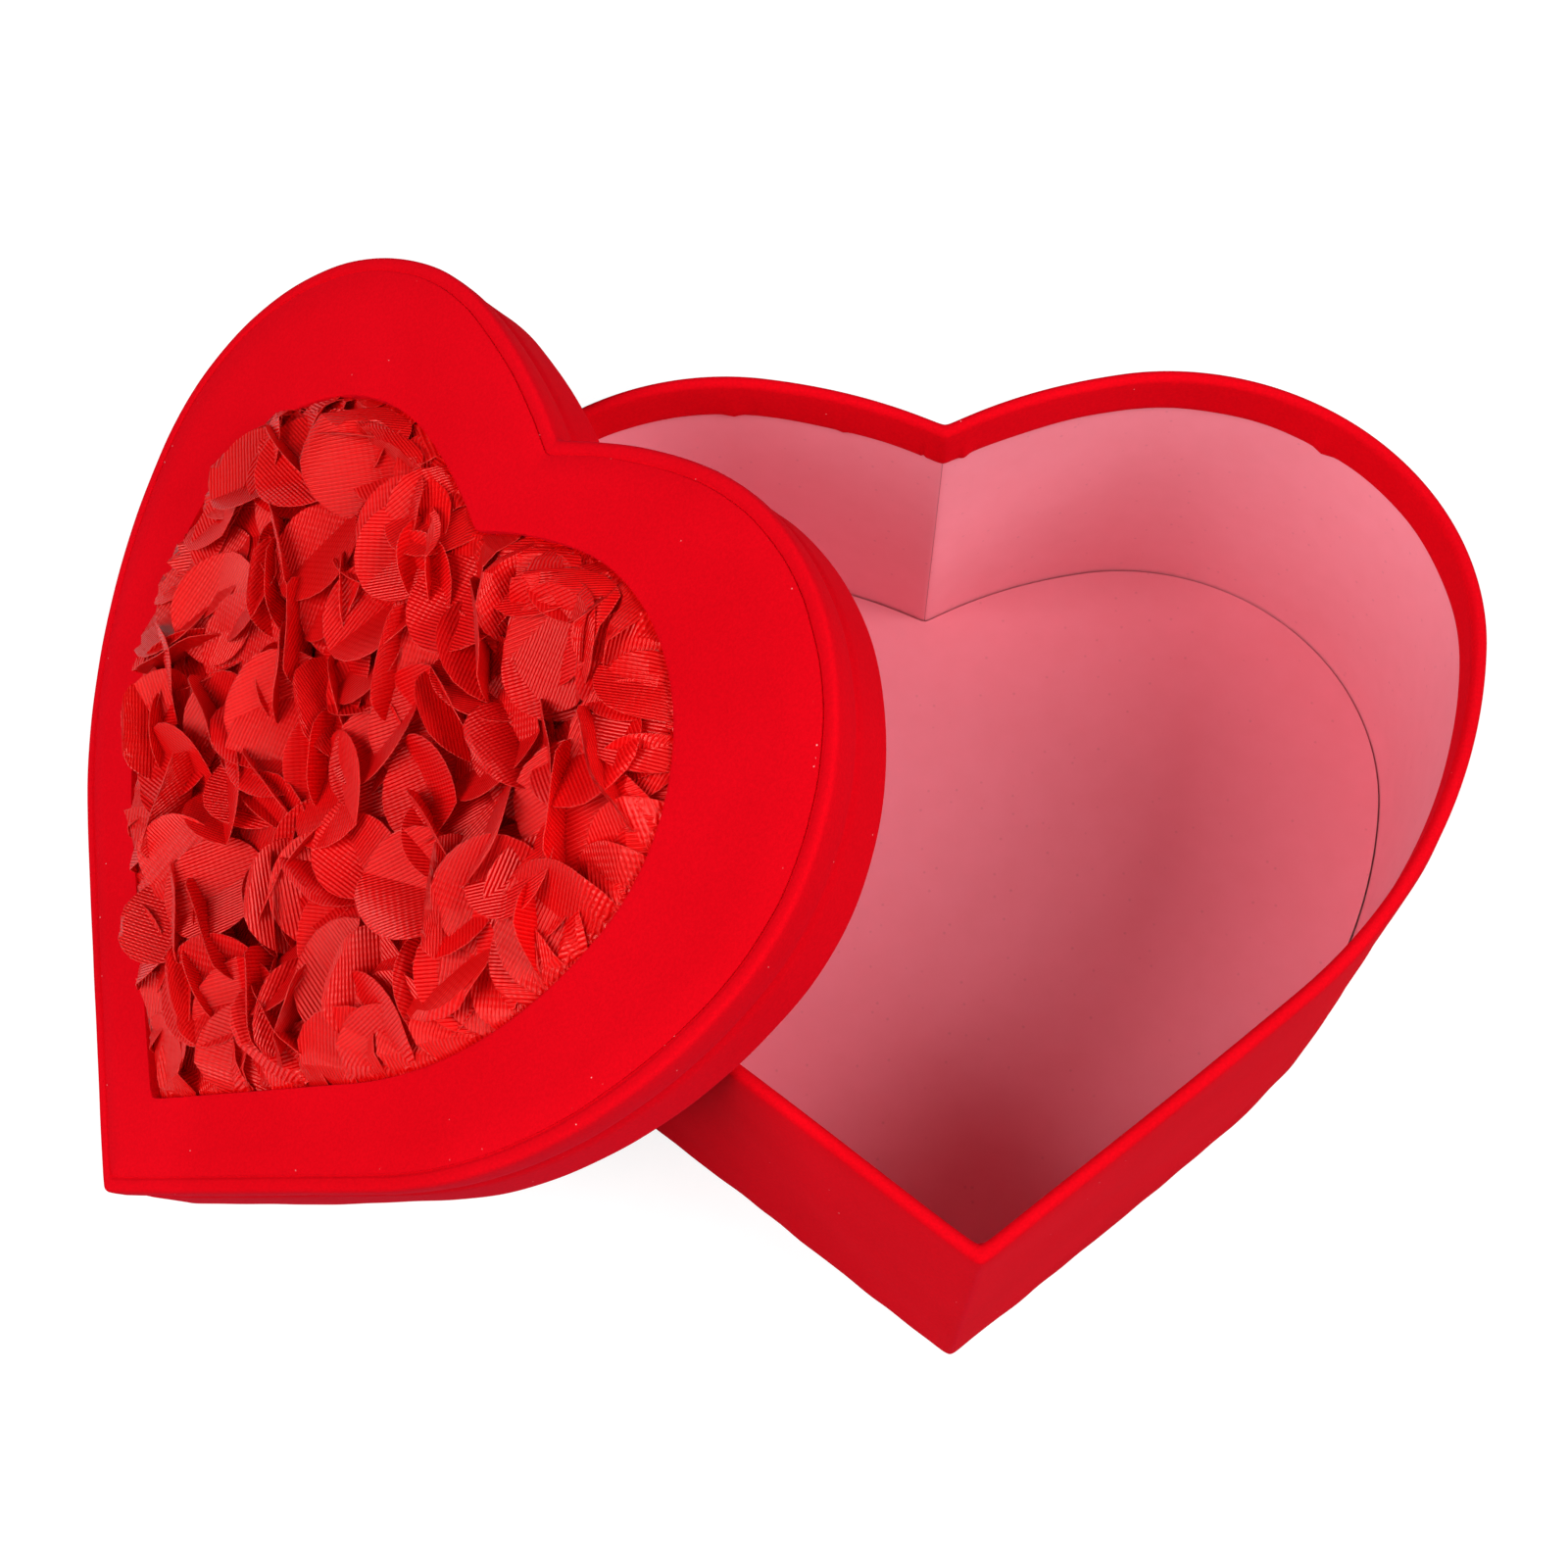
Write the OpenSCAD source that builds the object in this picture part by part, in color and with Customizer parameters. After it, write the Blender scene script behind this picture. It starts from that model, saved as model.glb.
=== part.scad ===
// Heart-shaped presentation box: velvet-covered paperboard, pink lining, and a
// lift-off lid whose heart window is filled with rosettes of round taffeta petals.
// The lid is taken off and leans: its low edge is on the table, its underside on the rim.

/* [Heart outline] */
// Straight run of the wall, from the tip to the flank
side_len = 81; // [72:0.5:90]
// Angle of the straight run, up from the X axis
side_angle = 38.2; // [36:0.1:41]
// Radius of the flank
flank_r = 125; // [115:1:140]
// Turn of the flank
flank_turn = 42; // [39:0.5:45]
// Radius of the lobe
lobe_r = 59; // [55:0.5:64]
// Turn of the lobe
lobe_turn = 111.5; // [105:0.5:114]
// Radius of the shoulder that runs down into the cleft
cleft_r = 140; // [115:1:150]

/* [Box] */
// Height of the box
box_h = 86.5; // [60:0.5:120]
// Thickness of the wall board
wall_board_t = 1.6; // [1.2:0.1:2.5]
// Thickness of the floor board
floor_board_t = 2; // [1.5:0.1:3]
// Depth of the velvet turned over the rim
rim_turn = 11; // [6:0.1:20]
// Width of the velvet turned under the floor
hem_turn = 10; // [5:0.5:16]
// Thickness of the loose floor card
floor_card_t = 1.4; // [0.8:0.1:2.5]
// Gap all round the loose floor card
floor_card_gap = 0.5; // [0.3:0.1:1.5]
// Thickness of the cover paper under the box
cover_t = 0.4; // [0.3:0.1:1]
// Distance of the cover paper from the edge
cover_inset = 3; // [1.5:0.5:6]

/* [Coverings] */
// Thickness of the velvet
velvet_t = 0.5; // [0.4:0.05:0.8]
// Thickness of the pink lining paper
paper_t = 0.2; // [0.15:0.05:0.4]
// Room for glue and tape between board and velvet
glue_t = 0.25; // [0.2:0.05:0.5]
// Thickness of the corner tape
tape_t = 0.15; // [0.1:0.01:0.17]
// Reach of the corner tape on each side of a corner
tape_reach = 14; // [8:1:20]

/* [Lid] */
// Height of the lid
lid_h = 25; // [20:0.5:40]
// Room between the box's wall and the lid's band
lid_fit = 0.6; // [0.4:0.1:1.2]
// Thickness of the band board
band_board_t = 1.1; // [0.8:0.1:2]
// Thickness of the top board
top_board_t = 2; // [1.5:0.1:3]
// Distance of the top sheet's cut edge from the lid's outline
sheet_inset = 1.4; // [1:0.1:4]
// Width of the band's velvet turned over the top
top_turn = 8; // [6:0.5:12]
// Height of the band's velvet turned up inside
band_turn = 9; // [5:0.5:12]
// Radius of the lid's top shoulder
shoulder_r = 2.2; // [1:0.1:2.6]
// Drop from the lid's top to the groove in the band
groove_drop = 10.5; // [8:0.5:14]
// Depth of the groove in the band
groove_depth = 0.35; // [0.1:0.05:0.4]
// Outward flare of the band's lower edge
band_flare = 0.9; // [0:0.1:1.5]

/* [Window and petals] */
// Size of the window's heart, as a share of the box's heart
window_ratio = 0.72; // [0.6:0.01:0.76]
// Ease of the window's outline outside that heart
window_ease = 4.5; // [3:0.5:6]
// Overlap of the petal ground under the window's edge
ground_lap = 7; // [4:0.5:9]
// Thickness of the petal ground
ground_t = 0.4; // [0.3:0.05:0.8]
// Thickness of the backing card
backing_t = 0.8; // [0.5:0.1:1.5]
// Radius of the cup that a rosette's petals follow
cup_r = 17; // [13:0.5:18]
// Radius of one round petal
petal_r = 8.5; // [6:0.5:8.5]
// Thickness of one petal
petal_t = 0.35; // [0.3:0.05:0.5]
// Lean of the outer petals' middles, from the rosette's axis
petal_lean = 50; // [48:1:54]
// Least distance between rosettes in a row
rosette_pitch = 34.5; // [34:0.5:44]
// Distance from the window's tip to the first row
first_row = 20; // [17:0.5:26]
// Distance from the last row to the top of the window's lobes
last_row = 24.5; // [20:0.5:30]
// Room between a rosette's middle and the window's edge
rosette_edge = 12; // [11.5:0.5:20]

/* [Lid's resting place] */
// Direction in which the leaning lid rises, from the X axis
lean_dir = 12.5; // [8:0.5:18]
// Turn of the lid about its own middle
lid_turn = -45; // [-55:0.5:-38]
// Distance of the lid's lowest point from the box's middle, against the lean
foot_run = 179; // [170:0.5:190]
// Sideways place of the lid's middle, across the lean
lid_side = 32; // [25:0.5:40]
// Clearance where pieces rest on each other
rest_gap = 0.3; // [0.2:0.05:0.5]

/* [Hidden] */
$fn = 96;

// Colours
velvet_red = "#d20a16";
petal_red = "#dc2a30";
lining_pink = "#e6828f";
board_grey = "#9a958c";
tape_tan = "#c8a878";
cover_red = "#8c1018";

// Arc centres of the right half: line, flank, lobe, shoulder, tip at [0, 0]
function right_of(a) = [sin(a), -cos(a)];
flank_end = side_angle + flank_turn;
lobe_end = flank_end + lobe_turn;
side_end = side_len * [cos(side_angle), sin(side_angle)];
flank_c = side_end - flank_r * right_of(side_angle);
lobe_c = flank_c + (flank_r - lobe_r) * right_of(flank_end);
cleft_c = lobe_c + (lobe_r - cleft_r) * right_of(lobe_end);
cleft_turn = 180 - asin(-cleft_c[0] / cleft_r) - lobe_end;

// The same figures for a heart enlarged by ratio k
function tip_y(off) = -off / cos(side_angle);
function cleft_y(off, k = 1) = k * cleft_c[1] + sqrt(pow(k * cleft_r + off, 2) - pow(k * cleft_c[0], 2));
function top_y(off, k = 1) = k * lobe_c[1] + k * lobe_r + off;

// Whether point p lies inside the heart's outline moved outwards by off
function in_sector(v, from, to) = cross(right_of(from), v) >= 0 && cross(v, right_of(to)) >= 0;
function past_arc(q, c, r, from, to) = in_sector(q - c, from, to) && norm(q - c) > r;
function in_heart(p, off = 0) =
  let (q = [abs(p[0]), p[1]])
    q * right_of(side_angle) < off
    && !past_arc(q, flank_c, flank_r + off, side_angle, flank_end)
    && !past_arc(q, lobe_c, lobe_r + off, flank_end, lobe_end)
    && !past_arc(q, cleft_c, cleft_r + off, lobe_end, 180);

// Middle of the outline along Y: the origin of the part's frame
mid_y = top_y(0) / 2;

// Heights in the box
hem_z = cover_t;
board_z = hem_z + velvet_t;
floor_z = board_z + floor_board_t;

// Offsets of the box's layers from its outer face, inwards
wall_out = velvet_t + glue_t;
wall_in = wall_out + wall_board_t;
lining_in = wall_in + paper_t;
rim_in = lining_in + velvet_t;

// The rim is a half round; the wall board ends inside it
rim_mid = rim_in / 2;
rim_z = box_h - rim_mid;
wall_top = rim_z + glue_t;

// Offsets of the lid's layers from the box's outer face, outwards
band_lining_in = lid_fit + velvet_t;
band_in = band_lining_in + paper_t;
band_out = band_in + band_board_t;
lid_out = band_out + glue_t + velvet_t;

// Heights in the lid, from its lower edge
sheet_z = lid_h - velvet_t;
turn_z = sheet_z - velvet_t;
top_board_z = turn_z - top_board_t;
ground_z = top_board_z - ground_t;
backing_z = ground_z - backing_t;
petal_z = top_board_z + rest_gap;
fit_gap = 0.1;
step_angle = 5;
rim_step = 22.5;
fold_step = 30;

// ---- Outline as areas: exact lines and arcs ----
// Each sector starts a little early, inside the one before it, so that they join as one.
// Hub is the share of the radius at which it starts, as a far centre may lie outside the heart.
module sector(c, r, start, end, hub) {
  from = start - 0.5;
  mid = (from + end) / 2;
  intersection() {
    translate(c) circle(r = r);
    polygon([
      c + hub * r * right_of(from), c + 2 * r * right_of(from), c + 3 * r * right_of(mid),
      c + 2 * r * right_of(end), c + hub * r * right_of(end)
    ]);
  }
}

module half_heart(off, k = 1) {
  p = k * side_end + off * right_of(side_angle);
  q = k * flank_c + (k * flank_r + off) * right_of(flank_end);
  s = k * lobe_c + (k * lobe_r + off) * right_of(lobe_end);
  m = k * lobe_c;
  seam = 0.01;
  intersection() {
    union() {
      polygon([[0, tip_y(off)], p, (q + m) / 2, (s + m) / 2, [0, cleft_y(off, k) - seam]]);
      polygon([[0, tip_y(off)], p, k * flank_c]);
      sector(k * flank_c, k * flank_r + off, side_angle, flank_end, 0.5);
      sector(k * lobe_c, k * lobe_r + off, flank_end, lobe_end, 0.1);
      sector(k * cleft_c, k * cleft_r + off, lobe_end, lobe_end + cleft_turn + 4, 0.5);
    }
    translate([0, tip_y(off) - 1]) square([4 * lobe_r, 8 * lobe_r]);
  }
}

module heart(off, k = 1) {
  translate([0, -mid_y * k]) {
    half_heart(off, k);
    mirror([1, 0]) half_heart(off, k);
  }
}

// Plate from z up, thickness t
module plate(off, z, t, k = 1) translate([0, 0, z]) linear_extrude(t) heart(off, k);

// Ring between two offsets
module ring(outer, inner, z, t) {
  translate([0, 0, z]) linear_extrude(t) difference() {
    heart(outer);
    heart(inner);
  }
}

// One side of a ring; side is 1 for right and -1 for left
module strip(outer, inner, z, t, side) {
  butt = 0.05;
  far = 4 * lobe_r;
  intersection() {
    ring(outer, inner, z, t);
    translate([side > 0 ? butt : -far - butt, -far, z]) cube([far, 2 * far, t]);
  }
}

// Tape folded round a corner at height y of the middle line
module corner_tape(outer, z, t, y) {
  intersection() {
    ring(outer, outer - tape_t, z, t);
    translate([-tape_reach, y - tape_reach, z]) cube([2 * tape_reach, 2 * tape_reach, t]);
  }
}

// ---- Outline as a path, for coverings swept along it ----
// Each station holds, for an offset, a point of the outline. Outer faces go round
// the arcs and inner faces inside them, so a covering never cuts the board.
function round_out(r, outer) = r / (outer ? cos(step_angle / 2) : 1);
function arc_point(c, r, a, off, outer) = c + round_out(r + off, outer) * right_of(a);

function steps(turn) = ceil(turn / step_angle);
function station_angles(from, turn) = [for (i = [1:steps(turn) - 1]) from + turn * i / steps(turn)];

half_stations = concat(
  [[0, 0]],
  [[1, side_angle]],
  [for (a = station_angles(side_angle, flank_turn)) [2, a]],
  [[3, flank_end]],
  [for (a = station_angles(flank_end, lobe_turn)) [3, a]],
  [[4, lobe_end]],
  [for (a = station_angles(lobe_end, cleft_turn)) [4, a]],
  [[5, 0]]
);

function station_point(s, off, outer) =
  s[0] == 0 ? [0, tip_y(off)] :
  s[0] == 1 ? side_end + off * right_of(side_angle) :
  s[0] == 2 ? arc_point(flank_c, flank_r, s[1], off, outer) :
  s[0] == 3 ? arc_point(lobe_c, lobe_r, s[1], off, outer) :
  s[0] == 4 ? arc_point(cleft_c, cleft_r, s[1], off, outer) :
  [0, cleft_y(round_out(cleft_r + off, outer) - cleft_r)];

stations = concat(
  [for (s = half_stations) [s, 1]],
  [for (i = [len(half_stations) - 2:-1:1]) [half_stations[i], -1]]
);

// Closed covering: profile is a closed list of [offset, z, outer]
module wrap(profile) {
  n = len(profile);
  m = len(stations);
  points = [
    for (s = stations, p = profile)
      let (q = station_point(s[0], p[0], p[2]))
        [s[1] * q[0], q[1] - mid_y, p[1]]
  ];
  faces = [
    for (i = [0:m - 1], j = [0:n - 1])
      let (a = i * n, b = ((i + 1) % m) * n, k = (j + 1) % n)
        each [[a + j, a + k, b + k], [a + j, b + k, b + j]]
  ];
  polyhedron(points = points, faces = faces, convexity = 8);
}

function bend(off, z, r, from, to, n, outer) = [
  for (i = [0:n])
    let (a = from + (to - from) * i / n)
      [off + r * cos(a), z + r * sin(a), outer]
];

// ---- Box ----
module bottom_cover() color(cover_red) plate(-cover_inset, 0, cover_t);

module floor_board() color(board_grey) plate(-wall_in - fit_gap, board_z, floor_board_t);

module wall_board(side) color(board_grey) strip(-wall_out, -wall_in, board_z, wall_top - board_z, side);
module wall_board_left() wall_board(-1);
module wall_board_right() wall_board(1);

tape_off = (glue_t - tape_t) / 2;
module tip_tape() color(tape_tan)
  corner_tape(-velvet_t - tape_off, board_z + 2, wall_top - board_z - 4, -mid_y);
module cleft_tape() color(tape_tan)
  corner_tape(-velvet_t - tape_off, board_z + 2, wall_top - board_z - 4, cleft_y(0) - mid_y);

module wall_lining(side) color(lining_pink) strip(-wall_in, -lining_in, floor_z, wall_top - floor_z - 1, side);
module wall_lining_left() wall_lining(-1);
module wall_lining_right() wall_lining(1);

module floor_card() color(lining_pink) plate(-lining_in - floor_card_gap, floor_z, floor_card_t);

// Velvet: up the outside, over the rim, down inside, and under the floor
box_profile = concat(
  [[-hem_turn, hem_z, false], [-velvet_t, hem_z, true], [0, board_z, true]],
  bend(-rim_mid, rim_z, rim_mid, 0, 90, 90 / rim_step, true),
  bend(-rim_mid, rim_z, rim_mid, 90 + rim_step, 180, 90 / rim_step - 1, false),
  [[-rim_in, box_h - rim_turn, false], [-lining_in, box_h - rim_turn, false]],
  bend(-rim_mid, rim_z, rim_mid - velvet_t, 180, 90 + fold_step, 90 / fold_step - 1, false),
  bend(-rim_mid, rim_z, rim_mid - velvet_t, 90, 0, 90 / fold_step, true),
  [[-velvet_t, board_z, true], [-hem_turn, board_z, false]]
);
module box_velvet() color(velvet_red) wrap(box_profile);

// ---- Lid, in its own frame: lower edge at z = 0, opening downwards ----
module lid_place() {
  translate([lid_pos[0], lid_pos[1], lid_pos[2]])
    rotate([0, 0, lean_dir])
      rotate([0, -lean, 0])
        rotate([0, 0, lid_turn - lean_dir])
          children();
}

module window(z, t, ease = 0) plate(window_ease + ease, z, t, window_ratio);

module lid_top_board() color(board_grey) lid_place() difference() {
  plate(band_out, top_board_z, top_board_t);
  window(top_board_z - 1, top_board_t + 2);
}

module band_board(side) color(board_grey) lid_place()
  strip(band_out, band_in, velvet_t + glue_t, top_board_z - velvet_t - glue_t, side);
module lid_band_board_left() band_board(-1);
module lid_band_board_right() band_board(1);

module lid_tape(y) color(tape_tan) lid_place()
  corner_tape(band_out + glue_t - tape_off, velvet_t + 2, top_board_z - velvet_t - 3, y);
module lid_tip_tape() lid_tape(-mid_y);
module lid_cleft_tape() lid_tape(cleft_y(0) - mid_y);

module band_lining(side) color(lining_pink) lid_place()
  strip(band_in, band_lining_in, 2 * velvet_t, backing_z - 2 * velvet_t, side);
module lid_lining_left() band_lining(-1);
module lid_lining_right() band_lining(1);

module lid_backing_card() color(lining_pink) lid_place() plate(band_in - fit_gap, backing_z, backing_t);

module petal_ground() color(petal_red) lid_place() window(ground_z, ground_t, ground_lap);

// Velvet: over the top's edge, down the band past the groove, and up inside
edge_out = lid_out + band_flare;
edge_mid = (lid_fit + edge_out) / 2;
edge_r = velvet_t + glue_t;
band_profile = concat(
  [[lid_out - top_turn, turn_z, false], [band_out + glue_t, turn_z, true]],
  [[band_out + glue_t, edge_r, true], [band_lining_in, edge_r, false]],
  [[band_lining_in, band_turn, false], [lid_fit, band_turn, false]],
  [[lid_fit, edge_r, false], [lid_fit + edge_r / 2, 0, false], [edge_out - edge_r / 2, 0, true]],
  [[edge_out, edge_r, true], [lid_out, lid_h - groove_drop - 2, true]],
  [[lid_out - groove_depth, lid_h - groove_drop, true], [lid_out, lid_h - groove_drop + 2, true]],
  bend(lid_out - shoulder_r, sheet_z - shoulder_r, shoulder_r, 0, 90, 90 / rim_step, true),
  [[lid_out - top_turn, sheet_z, false]]
);
module lid_band_velvet() color(velvet_red) lid_place() wrap(band_profile);

module lid_top_sheet() color(velvet_red) lid_place() difference() {
  union() {
    plate(lid_out - sheet_inset, sheet_z, velvet_t);
    plate(lid_out - top_turn - fit_gap, turn_z, velvet_t);
  }
  window(turn_z - 1, 2 * velvet_t + 2);
}

// ---- Petals: dished discs on nested spherical cups, three whorls a rosette ----
module petal(r, size, lean) {
  rotate([0, 180 - lean, 0]) rotate_extrude() intersection() {
    difference() {
      circle(r = r);
      circle(r = r - petal_t);
    }
    square([size, r + 1]);
  }
}

// Whorls from the outside in: number of petals, size and lean as shares of the outer ones
whorls = [[4, 1, 1], [3, 1, 0.86], [3, 0.82, 0.76]];
cup_rise = petal_t + rest_gap;
cup_shrink = 1.6 * cup_rise;
module rosette(turn) {
  for (i = [0:len(whorls) - 1]) {
    count = whorls[i][0];
    size = petal_r * whorls[i][1];
    lean = petal_lean * whorls[i][2];
    r = cup_r - i * cup_shrink;
    foot = r * cos(lean - asin(size / r));
    translate([0, 0, i * cup_rise + foot])
      for (j = [0:count - 1])
        rotate([0, 0, turn * (i + 1) + j * 360 / count]) petal(r, size, lean);
  }
}

// Reach of the field of rosettes at height y above the window's tip: the last x from a
// towards b that still clears the window's edge, found by halving
field_off = (window_ease - rosette_edge) / window_ratio;
function in_field(x, y) = in_heart([x, y] / window_ratio, field_off);
function field_edge(y, a, b, n = 12) =
  let (m = (a + b) / 2)
    n == 0 ? a : in_field(m, y) ? field_edge(y, m, b, n - 1) : field_edge(y, a, m, n - 1);

// Rows are spread from the window's tip to its lobes, and the rosettes shrink to fit them
row_count = 4;
row_pitch = (top_y(window_ease, window_ratio) - last_row - first_row) / (row_count - 1);
rosette_size = min(1, row_pitch / rosette_pitch);

// Turns that keep the rosettes from lining up
first_turn = 30;
next_turn = 47;
row_turn = 71;

// One row: evenly spread from edge to edge, or within each lobe beside the cleft
module petal_row(i) {
  y = first_row + i * row_pitch;
  hub = in_field(0, y) ? 0 : window_ratio * lobe_c[0];
  far = field_edge(y, hub, 3 * lobe_r);
  near = hub > 0 ? max(field_edge(y, hub, 0), rosette_pitch * rosette_size / 2) : -far;
  n = floor((far - near) / (rosette_pitch * rosette_size));
  xs = [for (j = [0:n]) n > 0 ? near + j * (far - near) / n : (near + far) / 2];
  color(petal_red) lid_place()
    for (side = hub > 0 ? [-1, 1] : [1], j = [0:n])
      translate([side * xs[j], y - mid_y * window_ratio, petal_z])
        scale(rosette_size) rosette(first_turn + side * next_turn * j + row_turn * i);
}
module petal_row_1() petal_row(0);
module petal_row_2() petal_row(1);
module petal_row_3() petal_row(2);
module petal_row_4() petal_row(3);

// ---- Where the lid rests: its low edge on the table, its underside on the box's rim ----
// Reach of the lid's lower edge from the lid's middle, down the lean
edge_turn = lid_turn - lean_dir;
foot_reach = -min([
  for (s = stations)
    let (q = station_point(s[0], edge_out - edge_r / 2, false))
      s[1] * q[0] * cos(edge_turn) - (q[1] - mid_y) * sin(edge_turn)
]);

// Run of the rim from the box's middle, down the lean
rim_low = min([
  for (s = stations)
    let (q = station_point(s[0], 0, false))
      s[1] * q[0] * cos(lean_dir) + (q[1] - mid_y) * sin(lean_dir)
]);

// From the lid's foot to the middle of the rim's rounding, and its depth in the lid
rest_out = foot_run + rim_low + rim_mid;
rest_up = rim_z - rest_gap;
rest_depth = backing_z - rest_gap - rim_mid;
lean = atan2(rest_up, rest_out) - asin(rest_depth / norm([rest_out, rest_up]));
lid_pos = let (u = -foot_run + foot_reach * cos(lean))
  [u * cos(lean_dir) - lid_side * sin(lean_dir), u * sin(lean_dir) + lid_side * cos(lean_dir),
   foot_reach * sin(lean) + rest_gap];

bottom_cover();
floor_board();
wall_board_left();
wall_board_right();
tip_tape();
cleft_tape();
wall_lining_left();
wall_lining_right();
floor_card();
box_velvet();
lid_top_board();
lid_band_board_left();
lid_band_board_right();
lid_tip_tape();
lid_cleft_tape();
lid_lining_left();
lid_lining_right();
lid_backing_card();
petal_ground();
lid_band_velvet();
lid_top_sheet();
petal_row_1();
petal_row_2();
petal_row_3();
petal_row_4();
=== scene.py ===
"""Heart-shaped gift box in red velvet with a pink lining and a lid full of taffeta petals.

Sizes in this file are in millimetres, as in the part's source, except those of the lamps,
and become metres where a mesh, a node or the camera is made. Every shape is an outline or
a profile worked out as whole arrays.
"""

import logging
import math
from collections.abc import Callable
from dataclasses import dataclass
from enum import Enum

import bmesh
import bpy
import numpy as np
from mathutils import Matrix, Vector

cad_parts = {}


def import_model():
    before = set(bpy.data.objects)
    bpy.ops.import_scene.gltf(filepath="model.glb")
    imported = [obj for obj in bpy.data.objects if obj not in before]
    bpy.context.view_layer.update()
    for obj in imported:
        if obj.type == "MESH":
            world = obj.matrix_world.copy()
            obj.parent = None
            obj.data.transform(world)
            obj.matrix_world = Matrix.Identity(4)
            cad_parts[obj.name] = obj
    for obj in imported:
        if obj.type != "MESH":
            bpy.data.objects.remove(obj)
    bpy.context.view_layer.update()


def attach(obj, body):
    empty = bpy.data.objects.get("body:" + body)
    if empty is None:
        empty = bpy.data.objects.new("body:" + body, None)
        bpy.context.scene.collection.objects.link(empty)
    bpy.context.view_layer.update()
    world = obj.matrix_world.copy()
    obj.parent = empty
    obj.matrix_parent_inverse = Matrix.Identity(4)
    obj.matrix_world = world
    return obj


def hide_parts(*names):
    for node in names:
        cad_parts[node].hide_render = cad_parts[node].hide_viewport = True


log = logging.getLogger("gift_box")

Array = np.ndarray
Profile = tuple[Array, Array]
Pair = tuple[float, float]
Triple = tuple[float, float, float]
Faces = list[list[int]]
Object = bpy.types.Object
Socket = bpy.types.NodeSocket

# One millimetre in metres.
MM = 0.001
# Width of one rib of the taffeta.
RIB = 0.8
# A place inside the heart, from which its whole outline is in sight.
CORE = np.array([0.0, 10.0])


# ---------------------------------------------------------------- shared sizes


@dataclass(frozen=True)
class Layers:
    """Thicknesses and offsets of board and coverings, as in the part's source."""

    velvet: float = 0.5
    glue: float = 0.25
    paper: float = 0.2
    tape: float = 0.15
    wall_board: float = 1.6
    floor_board: float = 2.0
    box_height: float = 86.5
    rim_turn: float = 11.0
    lid_height: float = 25.0
    lid_fit: float = 0.6
    band_board: float = 1.1
    top_board: float = 2.0
    edge_flare: float = 0.9

    @property
    def wall_in(self) -> float:
        """Depth of the wall board's inner face."""
        return self.velvet + self.glue + self.wall_board

    @property
    def lining_in(self) -> float:
        """Depth of the lining's inner face."""
        return self.wall_in + self.paper

    @property
    def rim_in(self) -> float:
        """Depth of the turned-in velvet's inner face."""
        return self.lining_in + self.velvet

    @property
    def band_in(self) -> float:
        """Offset of the band board's inner face."""
        return self.lid_fit + self.velvet + self.paper

    @property
    def band_out(self) -> float:
        """Offset of the band board's outer face."""
        return self.band_in + self.band_board

    @property
    def lid_out(self) -> float:
        """Offset of the lid's outer velvet face."""
        return self.band_out + self.glue + self.velvet

    @property
    def lid_board(self) -> float:
        """Height of the lid's top board's underside, above the lid's lower edge."""
        return self.lid_height - 2 * self.velvet - self.top_board


LAYERS = Layers()


class Side(Enum):
    """The heart's halves, in the order in which their pieces are made."""

    RIGHT = "right"
    LEFT = "left"


class Corner(Enum):
    """The heart's corners, both on its middle line."""

    TIP = "tip"
    CLEFT = "cleft"


@dataclass(frozen=True)
class HandShift:
    """A soft, hand-made departure from the drawn outline, strongest at one place."""

    centre: Pair
    shift: Pair
    reach: float

    def apply(self, points: Array) -> Array:
        """Move points by the shift times a bell curve of their distance from the centre.

        Args:
            points: Outline points, with x and y on the last axis.

        Returns:
            The moved points.
        """
        away = points - np.array(self.centre)
        bell = np.exp(-(away**2).sum(-1) / (2 * self.reach**2))
        return points + bell[..., None] * np.array(self.shift)


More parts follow.
